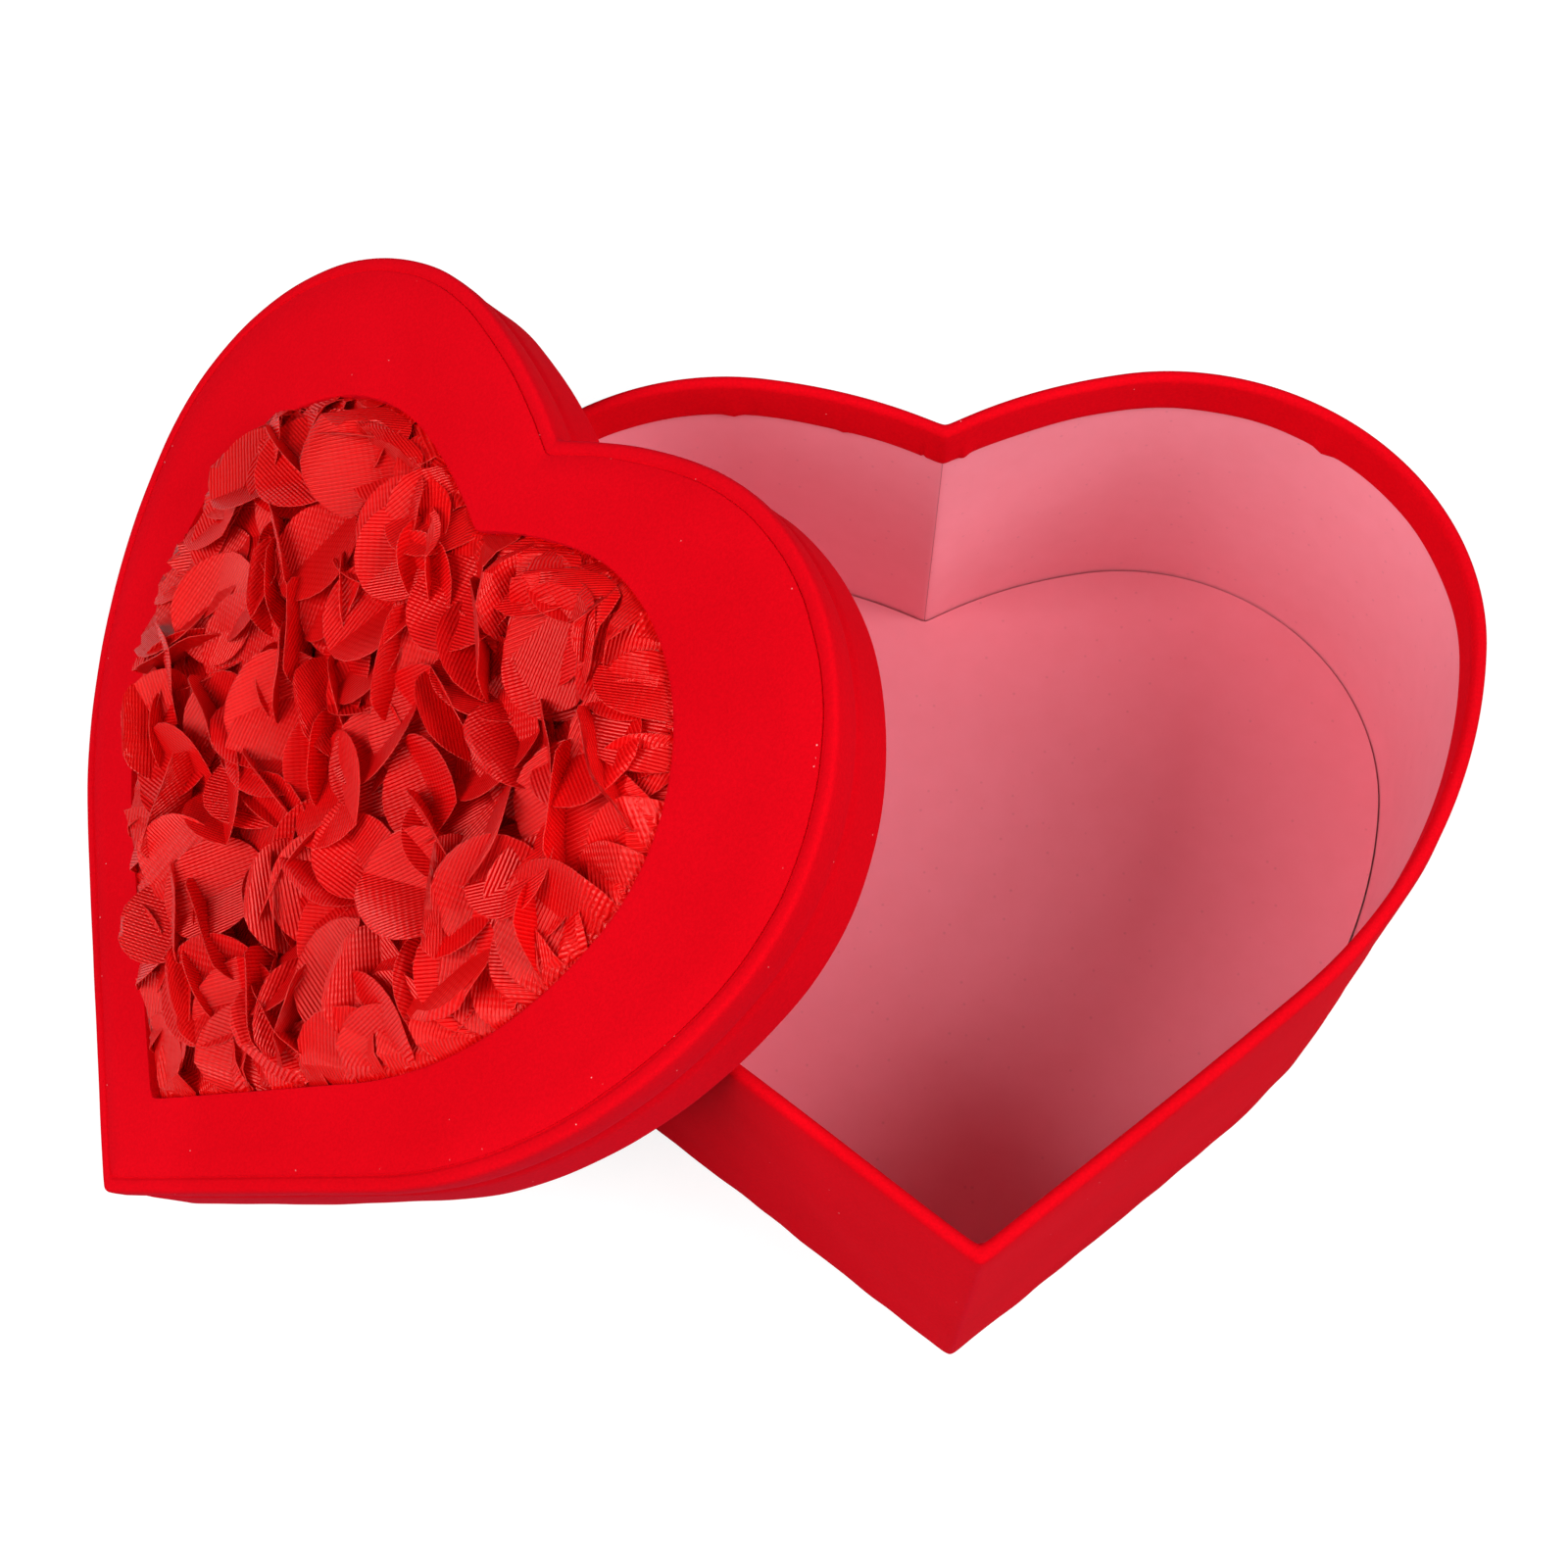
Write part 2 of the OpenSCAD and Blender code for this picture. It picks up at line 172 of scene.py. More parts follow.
@dataclass(frozen=True)
class HeartPath:
    """The heart's outline: a straight side, then flank, lobe and cleft arcs, mirrored.

    The stations of the side and of the cleft arc are bunched towards the middle line, by
    a power of their share of the way.
    """

    side_len: float = 81.0
    side_angle: float = 38.2
    flank_r: float = 125.0
    flank_turn: float = 42.0
    lobe_r: float = 59.0
    lobe_turn: float = 111.5
    cleft_r: float = 140.0
    corner_soft: float = 0.9
    cleft_slope: float = 0.55
    bunching: float = 1.8
    shifts: tuple[HandShift, ...] = ()
    counts: tuple[int, int, int, int] = (56, 60, 84, 44)

    @staticmethod
    def right_of(angle: Array) -> Array:
        """Unit vector (sin a, -cos a) to the right of a heading of a degrees."""
        turn = np.radians(angle)
        return np.stack([np.sin(turn), -np.cos(turn)], axis=-1)

    def centres(self) -> tuple[Array, Array, Array, Array]:
        """Places that the half outline is drawn from.

        Each arc's centre lies on the line from the last centre through their joint, so
        that the arcs meet without a corner.

        Returns:
            End of the straight side, then the centres of the flank, lobe and cleft arcs.
        """
        flank_end = self.side_angle + self.flank_turn
        lobe_end = flank_end + self.lobe_turn
        heading = np.radians(self.side_angle)
        end = self.side_len * np.array([np.cos(heading), np.sin(heading)])
        flank = end - self.flank_r * self.right_of(self.side_angle)
        lobe = flank + (self.flank_r - self.lobe_r) * self.right_of(flank_end)
        cleft = lobe + (self.lobe_r - self.cleft_r) * self.right_of(lobe_end)
        return end, flank, lobe, cleft

    @property
    def middle(self) -> float:
        """Half of the outline's length along Y, where the part's frame has its origin."""
        lobe = self.centres()[2]
        return (lobe[1] + self.lobe_r) / 2

    def half(self, off: Array, ratio: float = 1.0) -> Array:
        """Right half from tip to cleft, for each offset.

        An offset curve keeps the arcs' centres and adds the offset to their radii. The
        straight side runs from the mitred tip, and the cleft arc stops on the middle line.

        Args:
            off: Offsets outwards from the drawn outline, one for each profile point.
            ratio: Size of the drawn outline, before the offset is added.

        Returns:
            Points shaped (stations, offsets, 2), with the drawn tip at the origin.
        """
        end, flank, lobe, cleft = self.centres()
        flank_end = self.side_angle + self.flank_turn
        lobe_end = flank_end + self.lobe_turn
        off = np.atleast_1d(np.asarray(off, float))
        line, arc_a, arc_b, arc_c = self.counts
        share = (np.arange(line) / line) ** self.bunching
        tip = np.stack([0 * off, -off / math.cos(math.radians(self.side_angle))], -1)
        stop = ratio * end + off[:, None] * self.right_of(self.side_angle)
        side = tip + share[:, None, None] * (stop - tip)
        parts = [side]
        for centre, radius, start, turn, count in (
            (flank, self.flank_r, self.side_angle, self.flank_turn, arc_a),
            (lobe, self.lobe_r, flank_end, self.lobe_turn, arc_b),
        ):
            angle = start + turn * np.arange(count) / count
            reach = (ratio * radius + off)[None, :, None]
            parts.append(ratio * centre + reach * self.right_of(angle)[:, None, :])
        reach = ratio * self.cleft_r + off
        last = 180 - np.degrees(np.arcsin(-ratio * cleft[0] / reach))
        share = 1 - (1 - np.arange(arc_c + 1) / arc_c) ** self.bunching
        angle = lobe_end + share[:, None] * (last - lobe_end)
        parts.append(ratio * cleft + reach[None, :, None] * self.right_of(angle))
        return np.concatenate(parts)

    def loop(self, off: Array, ratio: float = 1.0) -> Array:
        """Whole outline, about its own middle, with soft corners and hand-made shifts.

        A corner on the middle line is eased: y grows by the slope times the difference
        between the soft and the true distance from that line.

        Args:
            off: Offsets outwards, one for each profile point.
            ratio: Size of the drawn outline.

        Returns:
            Points shaped (stations, offsets, 2), from the tip round by the right side.
        """
        half = self.half(off, ratio)
        x = half[..., 0]
        low = half[..., 1] < ratio * self.middle
        slope = np.where(low, math.tan(math.radians(self.side_angle)), self.cleft_slope)
        soft = np.sqrt(x**2 + self.corner_soft**2) - x
        half = np.stack([x, half[..., 1] + soft * slope], -1)
        left = half[-2:0:-1] * np.array([-1.0, 1.0])
        whole = np.concatenate([half, left])
        for shift in self.shifts:
            whole = shift.apply(whole)
        return whole - np.array([0.0, self.middle * ratio])

    def along(self) -> Array:
        """Share of the way round the loop at each station, from 0 up to 1."""
        run, total = runs(self.loop(np.zeros(1))[:, 0])
        return run / total

    def half_of(self, points: Array, side: Side) -> Array:
        """Stations of one half, without the tip's and the cleft's own.

        Args:
            points: Points of the whole loop, by station.
            side: Which half.

        Returns:
            The half's points.
        """
        cleft = sum(self.counts)
        return points[1:cleft] if side is Side.RIGHT else points[cleft + 1 :]

    def corner_of(self, points: Array, reach: float, corner: Corner) -> Array:
        """Stations near the tip or the cleft, in order across the corner.

        Args:
            points: Points of the whole loop, by station.
            reach: Largest distance from the middle line.
            corner: Which corner.

        Returns:
            The corner's points.
        """
        count = len(points)
        rolled = points if corner is Corner.CLEFT else np.roll(points, count // 2, axis=0)
        near = np.abs(rolled[:, 0, 0]) < reach
        return rolled[near & (np.abs(np.arange(count) - count // 2) < count // 5)]


BOX_PATH = HeartPath(
    shifts=(
        HandShift(centre=(0.0, 180.3), shift=(-0.1, 3.3), reach=38.0),
        HandShift(centre=(0.0, 0.0), shift=(-1.9, 0.0), reach=28.0),
    )
)
LID_PATH = HeartPath(shifts=(HandShift(centre=(0.0, 180.3), shift=(1.6, 1.6), reach=38.0),))


@dataclass(frozen=True)
class LidPlace:
    """Where the lid leans: its own frame has the lower edge at z = 0, opening down."""

    lean_dir: float = 12.5
    lean: float = 37.311
    turn: float = -45.0
    middle: Triple = (-114.411, 7.413, 52.812)
    skew: Pair = (-6.2, -3.7)
    skew_from: float = -70.0
    skew_to: float = 0.0

    def axes(self) -> Array:
        """Turn of the lid: about its own Z, then a lean, then towards the lean's heading.

        Returns:
            Matrix that turns the lid frame's directions into the row frame's.
        """
        return np.array(
            Matrix.Rotation(math.radians(self.lean_dir), 3, "Z")
            @ Matrix.Rotation(math.radians(-self.lean), 3, "Y")
            @ Matrix.Rotation(math.radians(self.turn - self.lean_dir), 3, "Z")
        )

    def skewed(self, points: Array) -> Array:
        """Lean the band over: its lower edge shifts sideways, except where it stands.

        The shift falls from full at the lower edge to none at the top, and from full on
        the upper side to none at the foot, which stands on the table.

        Args:
            points: Points in the lid's frame.

        Returns:
            The shifted points.
        """
        way = math.radians(self.turn - self.lean_dir)
        uphill = points[..., 0] * math.cos(way) - points[..., 1] * math.sin(way)
        side = ease(self.skew_from, self.skew_to, uphill)
        down = np.clip(1 - points[..., 2] / LAYERS.lid_height, 0, 1)
        moved = points.copy()
        moved[..., :2] += (side * down)[..., None] * np.array(self.skew)
        return moved

    def place(self, points: Array) -> Array:
        """Points of the lid's frame, in the row frame."""
        return points @ self.axes().T + np.array(self.middle)


LID_PLACE = LidPlace()


# ---------------------------------------------------------------- small helpers


def ease(low: float, high: float, value: Array) -> Array:
    """Smooth step: 0 below low, 1 above high, with a flat start and end."""
    share = np.clip((value - low) / (high - low), 0, 1)
    return share * share * (3 - 2 * share)


@dataclass(frozen=True)
class Wave:
    """Uneven closed wave: a sum of sines with whole counts and seeded phases.

    A sine with the count n has the weight of one over the square root of n.
    """

    size: float
    counts: tuple[int, ...]
    seed: int

    def at(self, along: Array) -> Array:
        """Height of the wave.

        Args:
            along: Share of the way round, from 0 to 1.

        Returns:
            Values from about -size to size.
        """
        counts = np.array(self.counts, float)
        phases = np.random.default_rng(self.seed).uniform(0, 2 * np.pi, len(counts))
        weights = counts**-0.5
        terms = np.sin(2 * np.pi * counts * along[..., None] + phases) * weights
        return self.size * (terms.sum(-1) / weights.sum())


def runs(points: Array) -> tuple[Array, float]:
    """Distance from the first point to each one round a closed line, and the whole way."""
    step = np.linalg.norm(np.diff(points, axis=0, append=points[:1]), axis=1)
    return np.concatenate([[0.0], np.cumsum(step)[:-1]]), step.sum()


def outward_of(points: Array) -> Array:
    """Unit vectors, flat on the table, from the origin towards each point."""
    return points[..., :2] / np.linalg.norm(points[..., :2], axis=-1, keepdims=True)


def turned(first: Array, second: Array, angle: Array) -> tuple[Array, Array]:
    """Turn two coordinates by an angle a: (p cos a - q sin a, p sin a + q cos a).

    Args:
        first: First coordinate of each point.
        second: Second coordinate.
        angle: Angle in radians, from the first axis towards the second.

    Returns:
        Both coordinates after the turn.
    """
    return (
        first * np.cos(angle) - second * np.sin(angle),
        first * np.sin(angle) + second * np.cos(angle),
    )


def lifted(flat: Array, heights: Array | list[float]) -> Array:
    """Flat points with their heights, one height for each point of a profile."""
    z = np.broadcast_to(np.asarray(heights, float), flat.shape[:2])
    return np.concatenate([flat, z[..., None]], -1)


def grid_faces(rows: int, columns: int, wrap_rows: bool, wrap_columns: bool) -> Array:
    """Corner indices of a grid's quads.

    Args:
        rows: Number of rows of points.
        columns: Number of points in a row.
        wrap_rows: Whether the last row is joined to the first.
        wrap_columns: Whether the last point of a row is joined to its first.

    Returns:
        Indices shaped (quads, 4), where a point's index is row * columns + column.
    """
    i = np.arange(rows if wrap_rows else rows - 1)[:, None]
    j = np.arange(columns if wrap_columns else columns - 1)[None, :]
    down, right = (i + 1) % rows, (j + 1) % columns
    quads = [i * columns + j, i * columns + right, down * columns + right, down * columns + j]
    return np.stack(np.broadcast_arrays(*quads), -1).reshape(-1, 4)


def make_mesh(
    name: str,
    points: Array,
    faces: Faces,
    sharp: float = 40.0,
    outward: bool = True,
) -> Object:
    """Make an object at the origin from points in millimetres.

    Args:
        name: Name of the piece.
        points: Vertices, shaped (count, 3).
        faces: Lists of vertex indices.
        sharp: Angle in degrees past which an edge is shaded sharp.
        outward: Whether the faces are turned to point outwards, for a closed shell.

    Returns:
        The new object, linked to the scene.
    """
    mesh = bpy.data.meshes.new(name)
    mesh.from_pydata((points * MM).tolist(), [], faces)
    if outward:
        shell = bmesh.new()
        shell.from_mesh(mesh)
        bmesh.ops.recalc_face_normals(shell, faces=shell.faces[:])
        shell.to_mesh(mesh)
        shell.free()
    mesh.polygons.foreach_set("use_smooth", np.ones(len(mesh.polygons), bool))
    mesh.set_sharp_from_angle(angle=math.radians(sharp))
    mesh.update()
    piece = bpy.data.objects.new(name, mesh)
    bpy.context.scene.collection.objects.link(piece)
    return piece


def carried(name: str, points: Array, closed: bool = True, sharp: float = 40.0) -> Object:
    """Make a closed profile carried round a loop, or along a path with a cap at each end.

    Args:
        name: Name of the piece.
        points: Points shaped (stations, profile, 3).
        closed: Whether the path is a loop.
        sharp: Angle past which an edge is shaded sharp.

    Returns:
        The new object.
    """
    rows, columns = points.shape[:2]
    faces = grid_faces(rows, columns, closed, True).tolist()
    if not closed:
        faces.append(list(range(columns)))
        faces.append(list(range((rows - 1) * columns, rows * columns)))
    return make_mesh(name, points.reshape(-1, 3), faces, sharp)


def box_section(outer: float, inner: float, low: float, high: float) -> Profile:
    """Offsets and heights of a rectangular profile."""
    return np.array([outer, outer, inner, inner]), np.array([low, high, high, low])


def swept(path: HeartPath, off: Array, height: Array) -> Array:
    """Points of a profile carried round a heart: each profile point is an offset and a height."""
    return lifted(path.loop(off), height)


def rings(edge: Array, middle: Array, shares: list[float], heights: list[float]) -> tuple[Array, Faces]:
    """Rings of an outline, shrunk towards a middle, with one face inside the first ring.

    At share s the outline's point e and the middle m give m + s (e - m).

    Args:
        edge: Outline points, shaped (stations, 2).
        middle: The place the rings shrink to.
        shares: Share of each ring.
        heights: Height of each ring.

    Returns:
        Points shaped (count, 3) and lists of vertex indices.
    """
    flat = middle + np.array(shares)[None, :, None] * (edge[:, None] - middle)
    points = lifted(flat, heights)
    rows, columns = points.shape[:2]
    faces = grid_faces(rows, columns, True, False).tolist()
    faces.append([i * columns for i in range(rows)])
    return points.reshape(-1, 3), faces


def paint(piece: Object, name: str, values: Array) -> None:
    """Give each vertex a value, for the finish to read as an attribute."""
    layer = piece.data.attributes.new(name, "FLOAT", "POINT")
    layer.data.foreach_set("value", values.astype(np.float32))


def lay_ribs(piece: Object, ribs: Array) -> None:
    """Lay out the cloth's ribs on a piece.

    Args:
        piece: The piece.
        ribs: Place of each vertex in millimetres across and along the ribs.
    """
    corner = np.zeros(len(piece.data.loops), np.int32)
    piece.data.loops.foreach_get("vertex_index", corner)
    layer = piece.data.uv_layers.new(name="Ribs")
    layer.data.foreach_set("uv", (ribs[corner] / RIB).astype(np.float32).ravel())


def thicken(piece: Object, thickness: float) -> None:
    """Give a thin cloth its thickness, half of it to each side.

    Args:
        piece: The cloth.
        thickness: Its thickness in millimetres.
    """
    wall = piece.modifiers.new("thickness", "SOLIDIFY")
    wall.thickness = thickness * MM
    wall.offset = 0


# ---------------------------------------------------------------- finishes


def linear(red: float, green: float, blue: float) -> tuple[float, float, float, float]:
    """Linear colour of a display colour, by the curve of sRGB.

    A share v of 255 gives v / 12.92 where it is low, and ((v + 0.055) / 1.055)^2.4 above.

    Args:
        red: Red from 0 to 255.
        green: Green.
        blue: Blue.

    Returns:
        Red, green, blue and an alpha of 1.
    """
    values = np.array([red, green, blue]) / 255
    low = values / 12.92
    high = ((values + 0.055) / 1.055) ** 2.4
    done = np.where(values <= 0.04045, low, high)
    return (float(done[0]), float(done[1]), float(done[2]), 1.0)


class Shader:
    """A material under construction: its node tree and its one main shader."""

    def __init__(self, name: str) -> None:
        """Start a material that has a main shader and object coordinates."""
        self.material = bpy.data.materials.new(name)
        self.material.use_nodes = True
        self.tree = self.material.node_tree
        self.main = self.tree.nodes["Principled BSDF"]
        self.place = self.node("ShaderNodeTexCoord").outputs["Object"]

    def node(self, kind: str, **values: object) -> bpy.types.Node:
        """Add a node and set its properties.

        Args:
            kind: Type of the node.
            values: Its properties by name.

        Returns:
            The node.
        """
        made = self.tree.nodes.new(kind)
        for key, value in values.items():
            setattr(made, key, value)
        return made

    def link(self, source: Socket, target: Socket) -> None:
        """Join two sockets."""
        self.tree.links.new(source, target)

    def noise(self, size: float, detail: float, stretch: Triple = (1, 1, 1)) -> Socket:
        """Noise whose features are about size millimetres across.

        Args:
            size: Size of a feature.
            detail: Number of finer layers.
            stretch: Scale of the pattern along each axis.

        Returns:
            The socket with values from 0 to 1.
        """
        mapping = self.node("ShaderNodeMapping")
        mapping.inputs["Scale"].default_value = stretch
        self.link(self.place, mapping.inputs["Vector"])
        made = self.node("ShaderNodeTexNoise")
        made.inputs["Scale"].default_value = 1 / (2 * size * MM)
        made.inputs["Detail"].default_value = detail
        self.link(mapping.outputs["Vector"], made.inputs["Vector"])
        return made.outputs["Fac"]

    def ramp(self, source: Socket, low: float, high: float, start: float = 0, end: float = 1) -> Socket:
        """Map one range of values to another, held at both ends.

        Args:
            source: The value.
            low: Start of the range it comes from.
            high: End of that range.
            start: Value given at low.
            end: Value given at high.

        Returns:
            The socket with the mapped value.
        """
        made = self.node("ShaderNodeMapRange", clamp=True)
        made.inputs["From Min"].default_value = low
        made.inputs["From Max"].default_value = high
        made.inputs["To Min"].default_value = start
        made.inputs["To Max"].default_value = end
        self.link(source, made.inputs["Value"])
        return made.outputs["Result"]

    def math(self, operation: str, first: object, second: object = 0.0) -> Socket:
        """Arithmetic on two values.

        Args:
            operation: Name of the operation.
            first: A socket or a number.
            second: A socket or a number.

        Returns:
            The socket with the result.
        """
        made = self.node("ShaderNodeMath", operation=operation)
        for socket, value in zip(made.inputs, (first, second)):
            if isinstance(value, (int, float)):
                socket.default_value = value
            else:
                self.link(value, socket)
        return made.outputs["Value"]

    def mix(self, share: object, first: object, second: object, blend: str = "MIX") -> Socket:
        """Mix two colours.

        Args:
            share: Share of the second colour, a socket or a number.
            first: A socket or a colour.
            second: A socket or a colour.
            blend: Name of the way of mixing.

        Returns:
            The socket with the mixed colour.
        """
        made = self.node("ShaderNodeMix", data_type="RGBA", blend_type=blend)
        for index, value in ((0, share), (6, first), (7, second)):
            socket = made.inputs[index]
            if isinstance(value, (int, float, tuple)):
                socket.default_value = value
            else:
                self.link(value, socket)
        return made.outputs[2]

    def surface(self, **values: object) -> None:
        """Set constants on the main shader's own sockets.

        Args:
            values: Value of each socket, by its name with low lines between the words.
        """
        for key, value in values.items():
            self.main.inputs[key.replace("_", " ")].default_value = value

    def bump(self, height: Socket, distance: float, strength: float) -> None:
        """Give the main shader a bump.

        Args:
            height: The socket with the height.
            distance: Millimetres that a height of 1 stands for.
            strength: Share of the bump that is used.
        """
        made = self.node("ShaderNodeBump")
        made.inputs["Distance"].default_value = distance * MM
        made.inputs["Strength"].default_value = strength
        self.link(height, made.inputs["Height"])
        self.link(made.outputs["Normal"], self.main.inputs["Normal"])

    def grey(self, value: Socket) -> Socket:
        """Make a grey colour.

        Args:
            value: The socket with its brightness.

        Returns:
            The socket with the colour.
        """
        made = self.node("ShaderNodeCombineColor")
        for socket in made.inputs[:3]:
            self.link(value, socket)
        return made.outputs["Color"]

    def shaded(self, colour: object, value: Socket) -> Socket:
        """A colour multiplied by one value."""
        return self.mix(1.0, colour, self.grey(value), "MULTIPLY")

    def attribute(self, name: str) -> Socket:
        """Value of a piece's own attribute, 0 on pieces without it."""
        return self.node("ShaderNodeAttribute", attribute_name=name).outputs["Fac"]

    def cells(self, pitch: float) -> Socket:
        """Distance to the nearest of many scattered places, counted in their pitch.

        Args:
            pitch: Millimetres between neighbours.

        Returns:
            The socket with the distance, 0 at a place itself.
        """
        made = self.node("ShaderNodeTexVoronoi")
        made.inputs["Scale"].default_value = 1 / (pitch * MM)
        self.link(self.place, made.inputs["Vector"])
        return made.outputs["Distance"]

    def colour(self, socket: Socket) -> None:
        """Use a socket as the main shader's colour."""
        self.link(socket, self.main.inputs["Base Color"])

    def lint(self, pitch: float, size: float) -> Socket:
        """Sparse specks of lint, on some of many scattered places.

        Args:
            pitch: Millimetres between neighbouring places.
            size: Distance in millimetres from a speck's middle to its rim.

        Returns:
            The socket with the speck's share, 0 between specks.
        """
        near = self.ramp(self.cells(pitch), 0.4 * size / pitch, size / pitch, 0.85, 0.0)
        some = self.ramp(self.noise(pitch * 1.7, 0.0), 0.56, 0.6)
        return self.math("MULTIPLY", near, some)

    def let_through(self, socket: Socket, share: float) -> None:
        """Let some light through thin cloth.

        Args:
            socket: Colour of the light that comes through.
            share: Share of the light that does.
        """
        thin = self.node("ShaderNodeBsdfTranslucent")
        self.link(socket, thin.inputs["Color"])
        blend = self.node("ShaderNodeMixShader")
        blend.inputs[0].default_value = share
        self.link(self.main.outputs["BSDF"], blend.inputs[1])
        self.link(thin.outputs["BSDF"], blend.inputs[2])
        self.link(blend.outputs["Shader"], self.tree.nodes["Material Output"].inputs["Surface"])


@dataclass(frozen=True)
class Velvet:
    """Short-pile flocked velvet: soft nap patches, fine grain and a low sheen."""

    name: str = "red_velvet"
    lit: Triple = (218, 2, 19)
    deep: Triple = (211, 1, 16)
    lint: Triple = (252, 205, 205)
    halo: Triple = (255, 40, 90)
    sheen: float = 0.12
    nap: float = 22.0
    grain: float = 0.32
    pile: float = 0.25

    def make(self) -> bpy.types.Material:
        """Build the velvet's material.

        Returns:
            The material.
        """
        shader = Shader(self.name)
        nap = shader.ramp(shader.noise(self.nap, 3.0), 0.35, 0.65)
        base = shader.mix(nap, linear(*self.deep), linear(*self.lit))
        grain = shader.ramp(shader.noise(self.grain, 1.0), 0.3, 0.7, 0.94, 1.05)
        cloth = shader.shaded(base, grain)
        seam = shader.ramp(shader.attribute("seam"), 0.93, 0.98)
        caught = shader.math("MULTIPLY", shader.lint(1.5, 0.2), seam)
        specks = shader.math("MAXIMUM", shader.lint(5.2, 0.17), caught)
        shader.colour(shader.mix(specks, cloth, linear(*self.lint)))
        shader.surface(Roughness=0.92, Specular_IOR_Level=0.04, Sheen_Weight=self.sheen)
        shader.surface(Sheen_Roughness=0.45, Sheen_Tint=linear(*self.halo))
        shader.bump(shader.noise(self.pile, 2.0), 0.08, 0.6)
        return shader.material


@dataclass(frozen=True)
class PinkPaper:
    """Matt pink lining paper with faint fibres and a few darker specks."""

    name: str = "pink_paper"
    pale: Triple = (243, 152, 167)
    deep: Triple = (241, 149, 163)
    speck_pitch: float = 1 / 0.26
    cloud: float = 3.0
    fibre: float = 0.5

    def make(self) -> bpy.types.Material:
        """Build the paper's material.

        Returns:
            The material.
        """
        shader = Shader(self.name)
        cloud = shader.ramp(shader.noise(self.cloud, 4.0), 0.3, 0.7)
        base = shader.mix(cloud, linear(*self.deep), linear(*self.pale))
        specks = shader.ramp(shader.cells(self.speck_pitch), 0.05, 0.12, 0.88, 1.0)
        shader.colour(shader.shaded(base, specks))
        shader.surface(Roughness=0.78, Specular_IOR_Level=0.25)
        shader.bump(shader.noise(self.fibre, 3.0), 0.03, 0.5)
        return shader.material


@dataclass(frozen=True)
class Taffeta:
    """Ribbed taffeta: one rib is one unit of the piece's own Ribs map."""

    name: str = "red_taffeta"
    # Rib crests are painted lighter and rib valleys darker: painted highlight and painted shade across
    # the ribs.
    crest_highlight: Triple = (255, 27, 29)
    valley_shade: Triple = (234, 0, 4)
    # Colour of the cut edges: a painted highlight where light catches them.
    edge: Triple = (255, 88, 80)
    glow: Triple = (255, 190, 180)
    through: float = 0.3

    def make(self) -> bpy.types.Material:
        """Build the taffeta's material: a satin face, and some light let through.

        The ribs are a sine across them, their crests a painted highlight and their valleys a painted
        shade; finer waves along each rib give a painted glint.

        Returns:
            The material.
        """
        shader = Shader(self.name)
        ribs = shader.node("ShaderNodeUVMap", uv_map="Ribs").outputs["UV"]
        parts = shader.node("ShaderNodeSeparateXYZ")
        shader.link(ribs, parts.inputs["Vector"])
        wobble = shader.math("MULTIPLY", shader.noise(5.0, 0.0), 0.35)
        across = shader.math("ADD", parts.outputs["X"], wobble)
        wave = shader.math("SINE", shader.math("MULTIPLY", across, 2 * math.pi))
        weft = shader.math("SINE", shader.math("MULTIPLY", parts.outputs["Y"], 2 * math.pi))
        # Share of the crest colour: rib crests get a painted highlight, rib valleys a painted shade.
        crest_highlight = shader.ramp(wave, -0.3, 0.9)
        cloth = shader.mix(crest_highlight, linear(*self.valley_shade), linear(*self.crest_highlight))
        # Painted glint along each rib, where the rib waves meet.
        glint = shader.ramp(shader.math("MULTIPLY", wave, weft), 0.1, 1.0, 1.0, 1.1)
        cloth = shader.shaded(shader.shaded(cloth, glint), shader.attribute("tint"))
        # Painted highlight along the petals' cut edges.
        cut = shader.ramp(shader.attribute("cut_edge_highlight"), 0.4, 1.0, 0.0, 0.36)
        done = shader.mix(cut, cloth, linear(*self.edge))
        shader.colour(done)
        shader.surface(Roughness=0.3, Specular_IOR_Level=0.65, Specular_Tint=linear(*self.glow))
        height = shader.math("ADD", wave, shader.math("MULTIPLY", weft, 0.25))
        shader.bump(height, 0.1, 0.9)
        shader.let_through(done, self.through)
        return shader.material


@dataclass(frozen=True)
class PlainStock:
    """Raw board, gummed tape or cover paper: a mottled colour with fibres."""

    name: str
    colour: Triple
    mottle: float = 0.12
    cloud: float = 1.6
    fibre: float = 0.4

    def make(self) -> bpy.types.Material:
        """Build the stock's material.

        Returns:
            The material.
        """
        shader = Shader(self.name)
        cloud = shader.noise(self.cloud, 4.0, (1.0, 1.0, 0.4))
        value = shader.ramp(cloud, 0.25, 0.75, 1 - self.mottle, 1 + self.mottle)
        shader.colour(shader.shaded(linear(*self.colour), value))
        shader.surface(Roughness=0.85, Specular_IOR_Level=0.2)
        shader.bump(shader.noise(self.fibre, 3.0), 0.03, 0.5)
        return shader.material


class Finish(Enum):
    """The finishes of this box, of which the two pink papers share one material slot; the floor card's
    copy of the paper is darker, a painted shade.
    """

    VELVET = "velvet"
    TAFFETA = "taffeta"
    LINING = "lining_paper"
    FLOOR = "floor_paper"
    BOARD = "board"
    TAPE = "tape"
    COVER = "cover_paper"

    @property
    def slot(self) -> str:
        """The material slot of the finish."""
        return Finish.LINING.value if self is Finish.FLOOR else self.value


